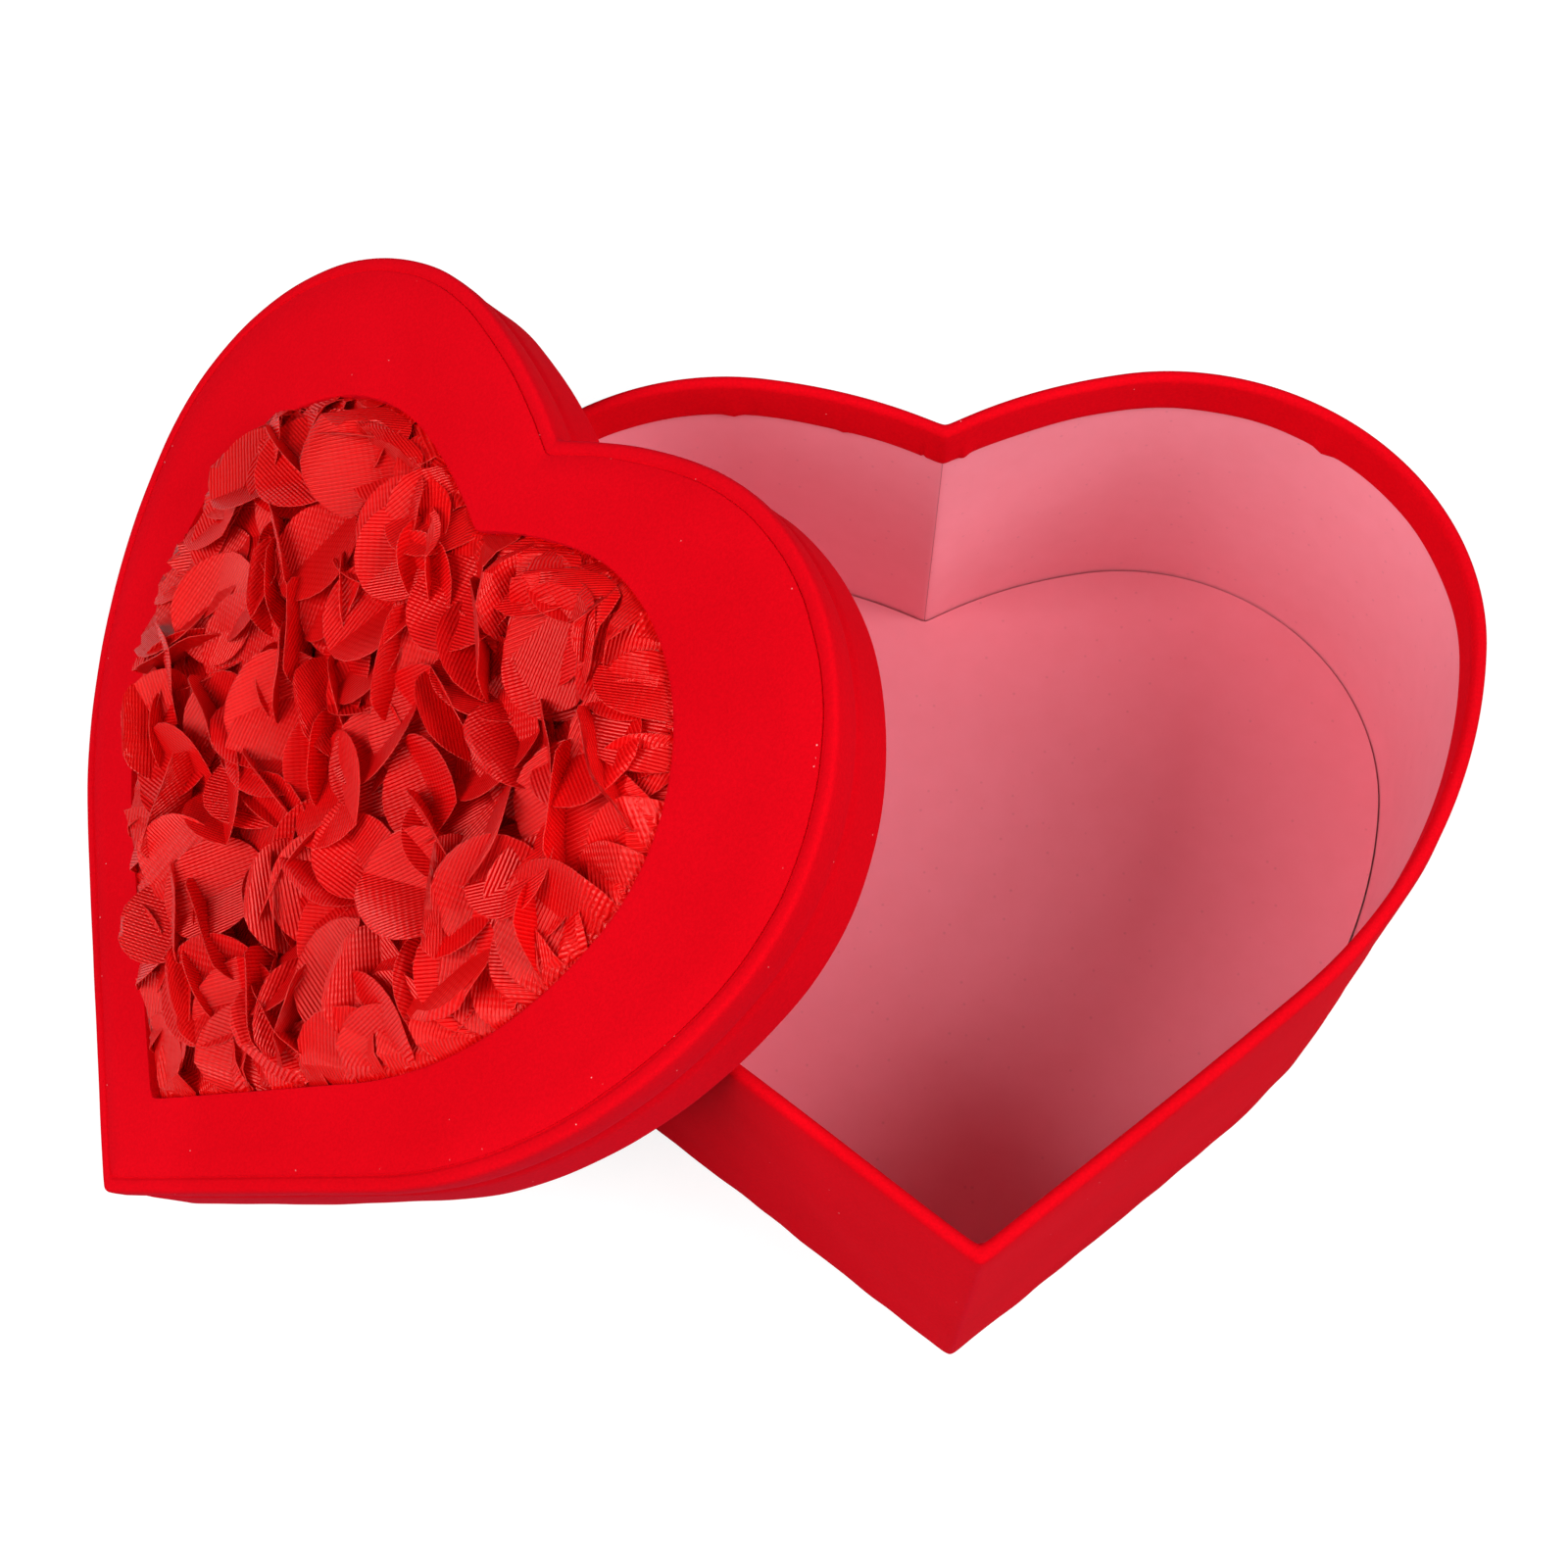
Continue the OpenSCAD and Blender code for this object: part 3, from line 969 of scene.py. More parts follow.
class Wardrobe:
    """Makes each finish once and dresses pieces in it."""

    def __init__(self) -> None:
        """Build all the materials."""
        self.made = {
            Finish.VELVET: Velvet().make(),
            Finish.TAFFETA: Taffeta().make(),
            Finish.LINING: PinkPaper().make(),
            # The floor card's paper is the lining paper made darker: painted shade on the box floor.
            Finish.FLOOR: PinkPaper("pink_floor_paper_shaded", (241, 140, 155), (239, 137, 151)).make(),
            Finish.BOARD: PlainStock("grey_board", (154, 149, 140)).make(),
            Finish.TAPE: PlainStock("gummed_tape", (200, 168, 120)).make(),
            Finish.COVER: PlainStock("cover_paper", (140, 16, 24), 0.08).make(),
        }

    def dress(self, piece: Object, finish: Finish, body: str, *nodes: str) -> None:
        """Give a piece its finish, its body and the CAD nodes it stands for.

        Args:
            piece: The piece.
            finish: Its finish.
            body: The body it rides on.
            nodes: CAD nodes that it replaces.
        """
        piece.data.materials.clear()
        piece.data.materials.append(self.made[finish])
        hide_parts(*nodes)
        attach(piece, body)
        log.info("%s: %d faces on %s", piece.name, len(piece.data.polygons), body)


@dataclass
class Workbench:
    """Makes and dresses the boards, papers, tapes and cards that follow one heart.

    Its place function moves points from the heart's own frame to the row frame.
    """

    path: HeartPath
    wardrobe: Wardrobe
    body: str
    place: Callable[[Array], Array]
    tape_reach: float = 14.0

    def strip(self, side: Side, name: str, finish: Finish, node: str, profile: Profile) -> None:
        """Make a strip along one half of the heart.

        Args:
            side: Which half.
            name: Name of the piece, before the side.
            finish: Its finish.
            node: Name of the CAD node that it replaces, before the side.
            profile: Offsets and heights of its section.
        """
        points = self.path.half_of(swept(self.path, *profile), side)
        piece = carried(f"{name}_{side.value}", self.place(points), closed=False)
        self.wardrobe.dress(piece, finish, self.body, f"{node}_{side.value}")

    def tapes(self, name: str, node: str, profile: Profile) -> None:
        """Make the tapes round the tip and the cleft.

        Args:
            name: Name of the pieces, with braces where the corner's name goes.
            node: Name of the CAD nodes, with the same.
            profile: Offsets and heights of their section.
        """
        for corner in Corner:
            points = self.path.corner_of(swept(self.path, *profile), self.tape_reach, corner)
            piece = carried(name.format(corner.value), self.place(points), closed=False)
            self.wardrobe.dress(piece, Finish.TAPE, self.body, node.format(corner.value))

    def card(self, name: str, finish: Finish, node: str, off: float, low: float, high: float) -> None:
        """Make a flat card with the heart's outline, as rings over and under it.

        Args:
            name: Name of the piece.
            finish: Its finish.
            node: The CAD node that it replaces.
            off: Offset of its edge from the outline.
            low: Height of its underside.
            high: Height of its top.
        """
        shares = [0.02, 0.35, 0.65, 0.88, 1.0]
        heights = [low] * len(shares) + [high] * len(shares)
        edge = self.path.loop(np.array([off]))[:, 0]
        points, faces = rings(edge, CORE, shares + shares[::-1], heights)
        faces.append([corner + len(heights) - 1 for corner in faces[-1]])
        piece = make_mesh(name, self.place(points), faces)
        self.wardrobe.dress(piece, finish, self.body, node)


# ---------------------------------------------------------------- the box


@dataclass
class HeartBox:
    """The box: base board, wall boards, tapes, velvet wrap, pink lining and floor card."""

    path: HeartPath = BOX_PATH
    cover_t: float = 0.4
    cover_inset: float = 3.0
    hem_turn: float = 10.0
    card_t: float = 1.4
    card_gap: float = 0.5
    tape_out: float = 0.55
    hidden_points: int = 10
    bulge: float = 0.22
    even_bulge: float = 0.6
    wall_wave: Wave = Wave(1.0, (7, 13, 22, 37), 5)
    slant: float = 0.002
    hem_wave: Wave = Wave(0.14, (31, 47, 64), 8)
    turn_wave: Wave = Wave(0.55, (5, 11, 17, 29), 11)
    folds: tuple[tuple[Pair, float, float], ...] = (
        ((-47.0, 93.0), 1.3, 0.7),
        ((79.0, 78.0), 1.6, 0.9),
        ((-22.0, 86.0), 1.0, 0.4),
        ((0.8, 84.0), 1.2, 0.7),
        ((-0.4, 84.0), 0.35, -0.45),
        ((-2.0, -95.0), 1.4, 1.3),
        ((2.5, -94.0), 1.2, 0.9),
    )

    @property
    def board_z(self) -> float:
        """Height of the base board's underside."""
        return self.cover_t + LAYERS.velvet

    @property
    def floor_z(self) -> float:
        """Height of the base board's top."""
        return self.board_z + LAYERS.floor_board

    @property
    def rim_z(self) -> float:
        """Height of the middle of the rim's rounding."""
        return LAYERS.box_height - LAYERS.rim_in / 2

    def velvet_profile(self) -> Profile:
        """Offsets and heights of the velvet wrap, hem to turn-in and back.

        The outer face climbs the wall, goes over the half-round rim and down inside; the
        inner face follows one velvet's thickness behind it.

        Returns:
            Offsets and heights.
        """
        velvet, rim = LAYERS.velvet, LAYERS.rim_in / 2
        wall = np.linspace(1.6, self.rim_z - 3, 16)
        over = np.radians(np.linspace(0, 180, 13))
        under = np.radians(np.linspace(180, 0, 9))
        turn_end = LAYERS.box_height - LAYERS.rim_turn
        inside = np.linspace(self.rim_z - 2, turn_end, 6)
        off = np.concatenate(
            [
                [-self.hem_turn, -1.2, -0.45, -0.1],
                0 * wall,
                -rim + rim * np.cos(over),
                0 * inside - LAYERS.rim_in,
                [-LAYERS.rim_in + 0.15, -LAYERS.lining_in],
                -rim + (rim - velvet) * np.cos(under),
                [-velvet, -self.hem_turn],
            ]
        )
        height = np.concatenate(
            [
                [self.cover_t, self.cover_t, self.cover_t + 0.15, self.cover_t + 0.5],
                wall,
                self.rim_z + rim * np.sin(over),
                inside,
                [turn_end - 0.25, turn_end],
                self.rim_z + (rim - velvet) * np.sin(under),
                [self.board_z, self.board_z],
            ]
        )
        return off, height

    def velvet_points(self) -> Array:
        """Points of the velvet wrap, with its waves, folds and uneven turn-in edge.

        Each wave is a sum of sines round the wall and shifts points outwards or upwards.

        Returns:
            Points shaped (stations, profile, 3).
        """
        off, height = self.velvet_profile()
        points = swept(self.path, off, height)
        along = self.path.along()[:, None]
        face = (off > -0.3) & (height < self.rim_z)
        wave = self.wall_wave.at(along + self.slant * height[None, :])
        swell = self.bulge * (self.even_bulge + wave)
        hem = np.where(height < 2, self.hem_wave.at(along), 0.0)
        shift = np.where(face, swell + hem, 0.0)
        points[..., :2] += shift[..., None] * outward_of(points)
        inside = (off <= -LAYERS.lining_in) & (height < self.rim_z - 1)
        deep = ease(self.rim_z - 2, LAYERS.box_height - LAYERS.rim_turn, height)[None, :]
        points[..., 2] += np.where(inside, deep * self.turn_wave.at(along), 0.0)
        self.add_folds(points, inside, deep)
        return points

    def add_folds(self, points: Array, inside: Array, deep: Array) -> None:
        """Raise narrow folds of the turned-in velvet, where it is gathered on a curve.

        Each fold has a place, a width w and a height h, which is less than 0 for a hollow.
        It rises by h exp(-(r / w)^2) at the distance r from its place.

        Args:
            points: Points of the wrap, changed in place.
            inside: Which profile points belong to the turned-in part.
            deep: How far down the turn-in each profile point lies, from 0 to 1.
        """
        edge = points[:, -1, :2]
        # The last points are the wrap's hidden face, which lies on the board.
        inner = inside & (np.arange(len(inside)) < len(inside) - self.hidden_points)
        for place, wide, tall in self.folds:
            away = np.linalg.norm(edge - np.array(place), axis=1)
            run = np.linalg.norm(edge - edge[np.argmin(away)], axis=1)
            ridge = tall * np.exp(-((run / wide) ** 2))
            rise = ridge[:, None] * np.where(inner, 0.3 + 0.7 * deep[0], 0.0)
            points[..., :2] -= rise[..., None] * outward_of(points)

    def build(self, wardrobe: Wardrobe) -> None:
        """Make and dress every piece of the box.

        Args:
            wardrobe: The finishes.
        """
        wrap = carried("box_velvet_wrap", self.velvet_points(), sharp=60)
        wardrobe.dress(wrap, Finish.VELVET, "base", "box_velvet")
        wall, lining, top = -LAYERS.wall_in, -LAYERS.lining_in, self.rim_z + LAYERS.glue
        bench = Workbench(self.path, wardrobe, "base", lambda points: points)
        board = box_section(-LAYERS.velvet - LAYERS.glue, wall, self.board_z, top)
        paper = box_section(wall, lining, self.floor_z, top - 1)
        for side in Side:
            bench.strip(side, "side_board", Finish.BOARD, "wall_board", board)
            bench.strip(side, "pink_lining", Finish.LINING, "wall_lining", paper)
        face = -self.tape_out
        tape = box_section(face, face - LAYERS.tape, self.board_z + 2, top - 2)
        bench.tapes("{}_gum_tape", "{}_tape", tape)
        bench.card("base_board", Finish.BOARD, "floor_board", wall - 0.1, self.board_z, self.floor_z)
        card = (lining - self.card_gap, self.floor_z, self.floor_z + self.card_t)
        # The floor card gets the darker copy of the paper, a painted shade.
        bench.card("pink_floor_card", Finish.FLOOR, "floor_card", *card)
        cover = (-self.cover_inset, 0.0, self.cover_t)
        bench.card("cover_paper_sheet", Finish.COVER, "bottom_cover", *cover)


# ---------------------------------------------------------------- the lid


@dataclass(frozen=True)
class PetalWindow:
    """The heart window in the lid's top, set a little off the middle by hand."""

    ratio: float = 0.72
    ease_out: float = 4.5
    shift: Pair = (-3.4, -1.9)
    turn: float = 1.4

    def edge(self, off: float) -> Array:
        """The window's outline: the heart made smaller, turned and shifted.

        Args:
            off: Distance by which the outline is moved outwards.

        Returns:
            Points in the lid's frame, shaped (stations, 2).
        """
        flat = HeartPath().loop(np.array([self.ease_out + off]), self.ratio)[:, 0]
        angle = math.radians(self.turn)
        spin = np.array([[math.cos(angle), math.sin(angle)], [-math.sin(angle), math.cos(angle)]])
        return flat @ spin + np.array(self.shift)

    def inside(self, places: Array, margin: float) -> Array:
        """Whether each place is inside the window by at least the margin.

        A place is inside when the angles from it to the outline's points, taken in
        order, go once round.

        Args:
            places: Places shaped (count, 2).
            margin: Least distance from the window's outline.

        Returns:
            One truth value for each place.
        """
        edge = self.edge(-margin)
        away = edge[None] - places[:, None]
        angle = np.arctan2(away[..., 1], away[..., 0])
        step = np.diff(angle, axis=1, append=angle[:, :1])
        step = (step + np.pi) % (2 * np.pi) - np.pi
        return np.abs(step.sum(1)) > np.pi


@dataclass
class HeartLid:
    """The lid: boards, tapes, velvet band, velvet top sheet, lining and petal ground."""

    path: HeartPath = LID_PATH
    window: PetalWindow = PetalWindow()
    seam_in: float = 3.4
    top_turn: float = 8.0
    band_turn: float = 9.0
    tape_out: float = 0.12
    stand_off: float = 0.1
    band_wave: Wave = Wave(0.14, (6, 15, 23, 41), 21)
    low_wave: Wave = Wave(0.35, (5, 9, 14), 23)
    edge_wave: Wave = Wave(0.25, (8, 17, 26), 27)
    cut_wave: Wave = Wave(0.0016, (9, 21, 33, 58), 31)
    ground_lap: float = 7.0
    ground_gap: float = 0.4
    ground_cloth: float = 0.3
    backing_t: float = 0.8

    def place(self, points: Array) -> Array:
        """Skew the band and put the points where the lid leans."""
        return LID_PLACE.place(LID_PLACE.skewed(points))

    def band_profile(self) -> Profile:
        """Section of the band velvet: top turn, shoulder, groove, flare, turn-in and back.

        Returns:
            Offsets and heights.
        """
        out, fit = LAYERS.lid_out, LAYERS.lid_fit
        top = LAYERS.lid_height
        edge = out + LAYERS.edge_flare
        board = LAYERS.band_out + LAYERS.glue
        inner = fit + LAYERS.velvet
        pairs = [
            (out - self.top_turn, top - 0.5),
            (out - self.seam_in - 0.1, top - 0.5),
            (out - self.seam_in + 0.4, top - 0.48),
            (out - self.seam_in + 0.6, top - 0.12),
            (out - self.seam_in + 1.0, top + 0.0),
            (out - 1.3, top - 0.03),
            (out - 0.75, top - 0.22),
            (out - 0.3, top - 0.6),
            (out - 0.02, top - 1.3),
            (out + 0.12, top - 3.0),
            (out + 0.2, top - 5.0),
            (out + 0.12, top - 7.0),
            (out - 0.1, top - 8.8),
            (out - 0.38, top - 10.0),
            (out - 0.52, top - 10.5),
            (out - 0.46, top - 10.9),
            (out + 0.05, top - 11.4),
            (out + 0.25, top - 13.5),
            (out + 0.45, 8.0),
            (out + 0.65, 5.0),
            (edge - 0.1, 2.5),
            (edge, 1.2),
            (edge - 0.1, 0.5),
            (edge - 0.4, 0.1),
            (edge - 0.9, 0.0),
            (fit + 0.5, 0.0),
            (fit + 0.1, 0.25),
            (fit, 0.8),
            (fit, self.band_turn * 0.5),
            (fit, self.band_turn - 0.3),
            (fit + 0.15, self.band_turn),
            (inner, self.band_turn),
            (inner, 0.75),
            (board, 0.75),
            (board, top - 1.0),
            (out - self.top_turn, top - 1.0),
        ]
        table = np.array(pairs)
        return table[:, 0], table[:, 1]

    def band_points(self) -> Array:
        """Points of the band velvet, with soft waves that grow towards its lower edge.

        Returns:
            Points in the lid's frame, shaped (stations, profile, 3).
        """
        off, height = self.band_profile()
        points = swept(self.path, off, height)
        along = self.path.along()[:, None]
        face = (off > LAYERS.lid_out - 2) & (height > 0.4)
        low = ease(14.0, 2.0, height)[None, :]
        wave = self.stand_off + self.band_wave.at(along) + low * self.low_wave.at(along)
        points[..., :2] += np.where(face, wave, 0.0)[..., None] * outward_of(points)
        points[..., 2] += np.clip(self.edge_wave.at(along), 0, 1) * (height < 0.7)
        return points

    def sheet_points(self) -> tuple[Array, Array]:
        """Points of the top sheet: a ring between its cut edge and the window.

        Returns:
            Points in the lid's frame, and how near each one is to the cut edge, with 1 on
            that edge and 0 at the window.
        """
        outer = self.path.loop(np.array([LAYERS.lid_out - self.seam_in]))[:, 0]
        along = self.path.along()[:, None]
        outer = outer * (1 + self.cut_wave.at(along))
        inner = self.window.edge(0.0)
        top, low, lip = LAYERS.lid_height, LAYERS.lid_height - LAYERS.velvet, LAYERS.lid_board + 0.1
        over = [0.0, 0.003, 0.012, 0.3, 0.6, 0.9, 0.975, 0.994, 1.0]
        shares = np.array([*over, 1.0, 0.992, 0.985, 0.03, 0.003])
        heights = [low + 0.15, top - 0.12, *[top] * 5, top - 0.06, top - 0.3, lip, lip, low, low, low]
        flat = outer[:, None] + shares[None, :, None] * (inner - outer)[:, None]
        return lifted(flat, heights), np.tile(1 - shares, len(outer))

    def window_ring(self, low: float, high: float) -> Array:
        """Points of the top board: a flat ring round the window.

        Args:
            low: Height of its underside.
            high: Height of its top.

        Returns:
            Points in the lid's frame, shaped (stations, 4, 3).
        """
        outer = self.path.loop(np.array([LAYERS.band_out]))[:, 0]
        inner = self.window.edge(0.3)
        return lifted(np.stack([outer, outer, inner, inner], 1), [low, high, high, low])

    def build(self, wardrobe: Wardrobe) -> None:
        """Make and dress every piece of the lid except its petals.

        Args:
            wardrobe: The finishes.
        """
        band = carried("lid_velvet_band", self.place(self.band_points()), sharp=60)
        wardrobe.dress(band, Finish.VELVET, "lid", "lid_band_velvet")
        points, seam = self.sheet_points()
        sheet = carried("lid_velvet_top", self.place(points), sharp=50)
        paint(sheet, "seam", seam)
        wardrobe.dress(sheet, Finish.VELVET, "lid", "lid_top_sheet")
        under = LAYERS.lid_board
        ring = self.place(self.window_ring(under, under + LAYERS.top_board - 0.05))
        wardrobe.dress(carried("lid_board", ring), Finish.BOARD, "lid", "lid_top_board")
        backing_z = under - self.ground_gap - self.backing_t
        inner, outer = LAYERS.band_in, LAYERS.band_out
        bench = Workbench(self.path, wardrobe, "lid", self.place)
        board = box_section(outer, inner, 0.75, under)
        paper = box_section(inner, LAYERS.lid_fit + LAYERS.velvet, 1.0, backing_z)
        for side in Side:
            bench.strip(side, "band_board", Finish.BOARD, "lid_band_board", board)
            bench.strip(side, "band_lining", Finish.LINING, "lid_lining", paper)
        face = outer + self.tape_out
        tape = box_section(face, face - LAYERS.tape, 2.5, under - 1)
        bench.tapes("band_{}_tape", "lid_{}_tape", tape)
        card = (inner - 0.1, backing_z, backing_z + self.backing_t)
        bench.card("lid_lining_card", Finish.LINING, "lid_backing_card", *card)
        self.build_ground(wardrobe)

    def build_ground(self, wardrobe: Wardrobe) -> None:
        """Make the taffeta ground that the petals are sewn to, stretched under the window.

        Args:
            wardrobe: The finishes.
        """
        edge = self.window.edge(self.ground_lap)
        level = LAYERS.lid_board - self.ground_gap / 2
        shares = [0.02, 0.3, 0.55, 0.8, 1.0]
        points, faces = rings(edge, edge.mean(0), shares, [level] * len(shares))
        ground = make_mesh("petal_ground_cloth", self.place(points), faces, outward=False)
        lay_ribs(ground, points[:, :2])
        paint(ground, "tint", np.ones(len(points)))
        thicken(ground, self.ground_cloth)
        wardrobe.dress(ground, Finish.TAFFETA, "lid", "petal_ground")


# ---------------------------------------------------------------- petals


@dataclass(frozen=True)
class Tuck:
    """How far the petals may rise near the window's edge, and how softly they are held.

    The step and the slope each have a value for the right side, then what is added to it
    on the left side, where the petals stand up more.
    """

    left_way: Pair = (-0.87, -0.49)
    left_band: Pair = (5.0, 45.0)
    least: float = 0.05
    step: Pair = (2.1, 0.8)
    slope: Pair = (1.25, 1.5)
    slope_from: float = 0.5
    most: float = 13.0
    edge_soft: float = 0.02
    soft: float = 1.2
    sunk: float = 0.12

    def limit(self, points: Array, room: Array) -> Array:
        """Most that each point may rise: a soft step at the edge, then a slope inwards.

        Args:
            points: Points in the lid's frame.
            room: Distance from each one to the window's edge, less than 0 outside it.

        Returns:
            One height for each point.
        """
        way_x, way_y = self.left_way
        left = ease(*self.left_band, way_x * points[..., 0] + way_y * points[..., 1])
        step = (self.step[0] + self.step[1] * left) * ease(0.0, 1.0, room)
        inwards = np.clip(room - self.slope_from, 0, 20)
        slope = (self.slope[0] + self.slope[1] * left) * inwards
        return np.minimum(self.least + step + slope, self.most)

    def held(self, rise: Array, limit: Array, room: Array) -> Array:
        """Rises z held under their limits m in a soft way.

        With the softness s a rise becomes (z + m - sqrt((z - m)^2 + s^2)) / 2. Outside the
        window it also sinks behind the edge.

        Args:
            rise: Rise of each point above the ground.
            limit: The most it may rise.
            room: Distance from it to the window's edge, less than 0 outside it.

        Returns:
            The new rises.
        """
        soft = np.where(room < 1.0, self.edge_soft, self.soft)
        low = (rise + limit - np.sqrt((rise - limit) ** 2 + soft**2)) / 2
        return np.where(room < 0, np.minimum(low, self.least) - self.sunk, low)


@dataclass
class PetalBed:
    """Round taffeta petals, each creased where it is sewn, in four overlapping rows."""

    window: PetalWindow = PetalWindow()
    ground_z: float = LAYERS.lid_board
    pitch: float = 11.8
    line_pitch: float = 0.87
    jitter: float = 0.2
    lattice_in: float = 4.0
    radius: Pair = (11.4, 13.6)
    edge_in: float = 1.6
    edge_pitch: float = 9.5
    rows: int = 4
    row_depth: float = 35.0
    rings: tuple[float, ...] = (0.3, 0.62, 0.88, 0.988, 1.0)
    spokes: int = 28
    stand_way: float = 2.45
    lying_share: float = 0.56
    closed_from: float = 0.8
    edge_room: float = 7.0
    inward_room: float = 9.0
    low_room: Pair = (3.0, 8.0)
    tuck: Tuck = Tuck()
    cloth: float = 0.16
    seed: int = 12

    def places(self, random: np.random.Generator) -> Array:
        """Sewing places: a line just inside the window's edge, then a jittered lattice.

        Args:
            random: Source of the jitter.

        Returns:
            Places in the lid's frame, shaped (petals, 2).
        """
        across = np.arange(-9, 10)
        x, y = np.meshgrid(across * self.pitch, across * self.pitch * self.line_pitch)
        x = x + (np.arange(len(across))[:, None] % 2) * self.pitch / 2
        points = np.stack([x, y], -1).reshape(-1, 2)
        points = points + random.normal(0, self.pitch * self.jitter, points.shape)
        edge = self.window.edge(-self.edge_in)
        run, total = runs(edge)
        stops = np.arange(0, total, self.edge_pitch)
        filler = edge[np.searchsorted(run, stops).clip(0, len(edge) - 1)]
        return np.concatenate([filler, points[self.window.inside(points, self.lattice_in)]])

    def room(self, places: Array) -> Array:
        """Distance from each place to the window's edge, less than 0 outside it."""
        away = np.linalg.norm(self.window.edge(0.0)[None] - places[:, None], axis=-1).min(1)
        return np.where(self.window.inside(places, 0.0), away, -away)

    def shapes(self, random: np.random.Generator, sewn: Array) -> dict[str, Array]:
        """Crease, opening, lean and turn of each petal.

        A petal lies open, lies with one half up, or stands closed like a leaf. Near the
        window's edge it lies open and points inwards.

        Args:
            random: Source of the draws, whose order is part of the petals' look.
            sewn: Sewing places.

        Returns:
            One value for each petal, by name.
        """
        count = len(sewn)
        room = self.room(sewn)

        def draw(low: float, high: float) -> Array:
            """One even random value for each petal."""
            return random.uniform(low, high, count)

        kind = draw(0, 1)
        lying = (kind < self.lying_share) | (room < self.edge_room)
        closed = ~lying & (kind > self.closed_from)
        half_up = ~lying & ~closed
        small, wide = draw(2, 24), draw(50, 84)
        to_core = CORE - sewn
        inward = np.arctan2(to_core[:, 1], to_core[:, 0]) + random.normal(0, 0.6, count)
        stand = self.stand_way + random.normal(0, 0.55, count) + np.pi * random.integers(0, 2, count)
        way = np.where(closed | half_up, stand, draw(0, 2 * np.pi))
        lift = draw(2.2, 6.4)
        lift = np.where(closed, draw(0.2, 2.5), lift)
        lift = np.where(half_up, draw(0.6, 4.0), lift)
        close, near = self.low_room
        return {
            "radius": draw(*self.radius),
            "centre_x": draw(-0.1, 0.5),
            "centre_y": draw(-0.34, 0.34),
            "left": np.radians(np.where(closed, wide, small)),
            "right": np.radians(np.where(lying, draw(2, 24), draw(58, 88))),
            "bend_left": draw(-0.02, 0.028),
            "bend_right": draw(-0.024, 0.02),
            "ruffle": np.where(lying, draw(0.05, 0.3), draw(0.05, 0.35)),
            "phase": draw(0, 2 * np.pi),
            "roll": np.radians(random.normal(0, 9, count)),
            "lean": np.radians(np.where(lying, draw(4, 26), draw(0, 22))),
            "way": np.where(room < self.inward_room, inward, way),
            "lift": np.select([room < close, room < near], [draw(0.5, 1.6), draw(1.4, 3.6)], lift),
            "ribs": draw(0, np.pi),
            "tint": draw(0.94, 1.08),
        }

    def unit_fan(self) -> tuple[Array, Array, Array, Faces]:
        """The grid shared by all petals, as rings and spokes about the crease's middle.

        Returns:
            Each point's spoke direction, its share of the way to the cut edge, whether it
            is on that edge, and the faces. The first spoke and the opposite one lie on
            the crease.
        """
        turn = np.arange(self.spokes) * 2 * np.pi / self.spokes
        spoke = np.stack([np.cos(turn), np.sin(turn)], -1)
        share = np.repeat(self.rings, self.spokes)
        count = len(self.rings)
        spokes = np.concatenate([[[1.0, 0.0]], np.tile(spoke, (count, 1))])
        fan = [[0, 1 + j, 1 + (j + 1) % self.spokes] for j in range(self.spokes)]
        bands = (grid_faces(count, self.spokes, False, True) + 1)[:, ::-1].tolist()
        return spokes, np.concatenate([[0.0], share]), np.concatenate([[0.0], share == 1.0]), fan + bands

    def flat_discs(self, form: dict[str, Array]) -> Array:
        """Flat discs about their crease's middle, which lies off each disc's centre.

        Along a spoke the cut edge lies at c + sqrt(c * c + R * R - d * d), where c is the
        centre's distance along the spoke, d its distance from the crease's middle and R
        the disc's radius.

        Args:
            form: Values of each petal.

        Returns:
            Points shaped (petals, points, 2).
        """
        spokes, share, _, _ = self.unit_fan()
        radius = form["radius"][:, None]
        centre = np.stack([form["centre_x"], form["centre_y"]], -1) * radius
        along = centre @ spokes.T
        reach = along + np.sqrt(along**2 + radius**2 - (centre**2).sum(-1, keepdims=True))
        return (share * reach)[..., None] * spokes

    def tucked(self, points: Array) -> Array:
        """Hold the petals down at the window's edge, least on its left side.

        Args:
            points: Points in the lid's frame, shaped (petals, points, 3).

        Returns:
            The points, held down.
        """
        room = self.room(points.reshape(-1, 3)[:, :2]).reshape(points.shape[:2])
        limit = self.tuck.limit(points, room)
        done = points.copy()
        done[..., 2] = self.ground_z + self.tuck.held(points[..., 2] - self.ground_z, limit, room)
        return done

    def petal_points(self, flat: Array, sewn: Array, form: dict[str, Array]) -> Array:
        """Points of every petal in the lid's frame.

        Each half turns up from the crease by its angle and bends on along an arc, so a
        point s from the crease goes to ((sin(a + k s) - sin a) / k, (cos a - cos(a + k s)) / k).
        A ruffle grows towards the cut edge; then the petal rolls about its crease, leans
        up along it, turns and is sewn down. What would sink under the ground is laid on it.

        Args:
            flat: Points on the flat discs, shaped (petals, points, 2).
            sewn: Sewing places.
            form: Values of each petal.

        Returns:
            Points shaped (petals, points, 3).
        """
        col = {key: value[:, None] for key, value in form.items()}
        x, y = flat[..., 0], flat[..., 1]
        side, far = np.sign(y), np.abs(y)
        angle = np.where(y > 0, col["left"], col["right"])
        bend = np.where(y > 0, col["bend_left"], col["bend_right"])
        bend = np.where(np.abs(bend) < 0.002, 0.002, bend)
        y = side * (np.sin(angle + bend * far) - np.sin(angle)) / bend
        z = (np.cos(angle) - np.cos(angle + bend * far)) / bend
        out = far / col["radius"]
        ruffle = col["ruffle"] * out * np.sin(x * 0.33 + col["phase"])
        y, z = y + ruffle * np.sin(angle), z + ruffle * np.cos(angle)
        y, z = turned(y, z, col["roll"])
        x, z = turned(x, z, col["lean"])
        x, y = turned(x, y, col["way"])
        z = z + col["lift"]
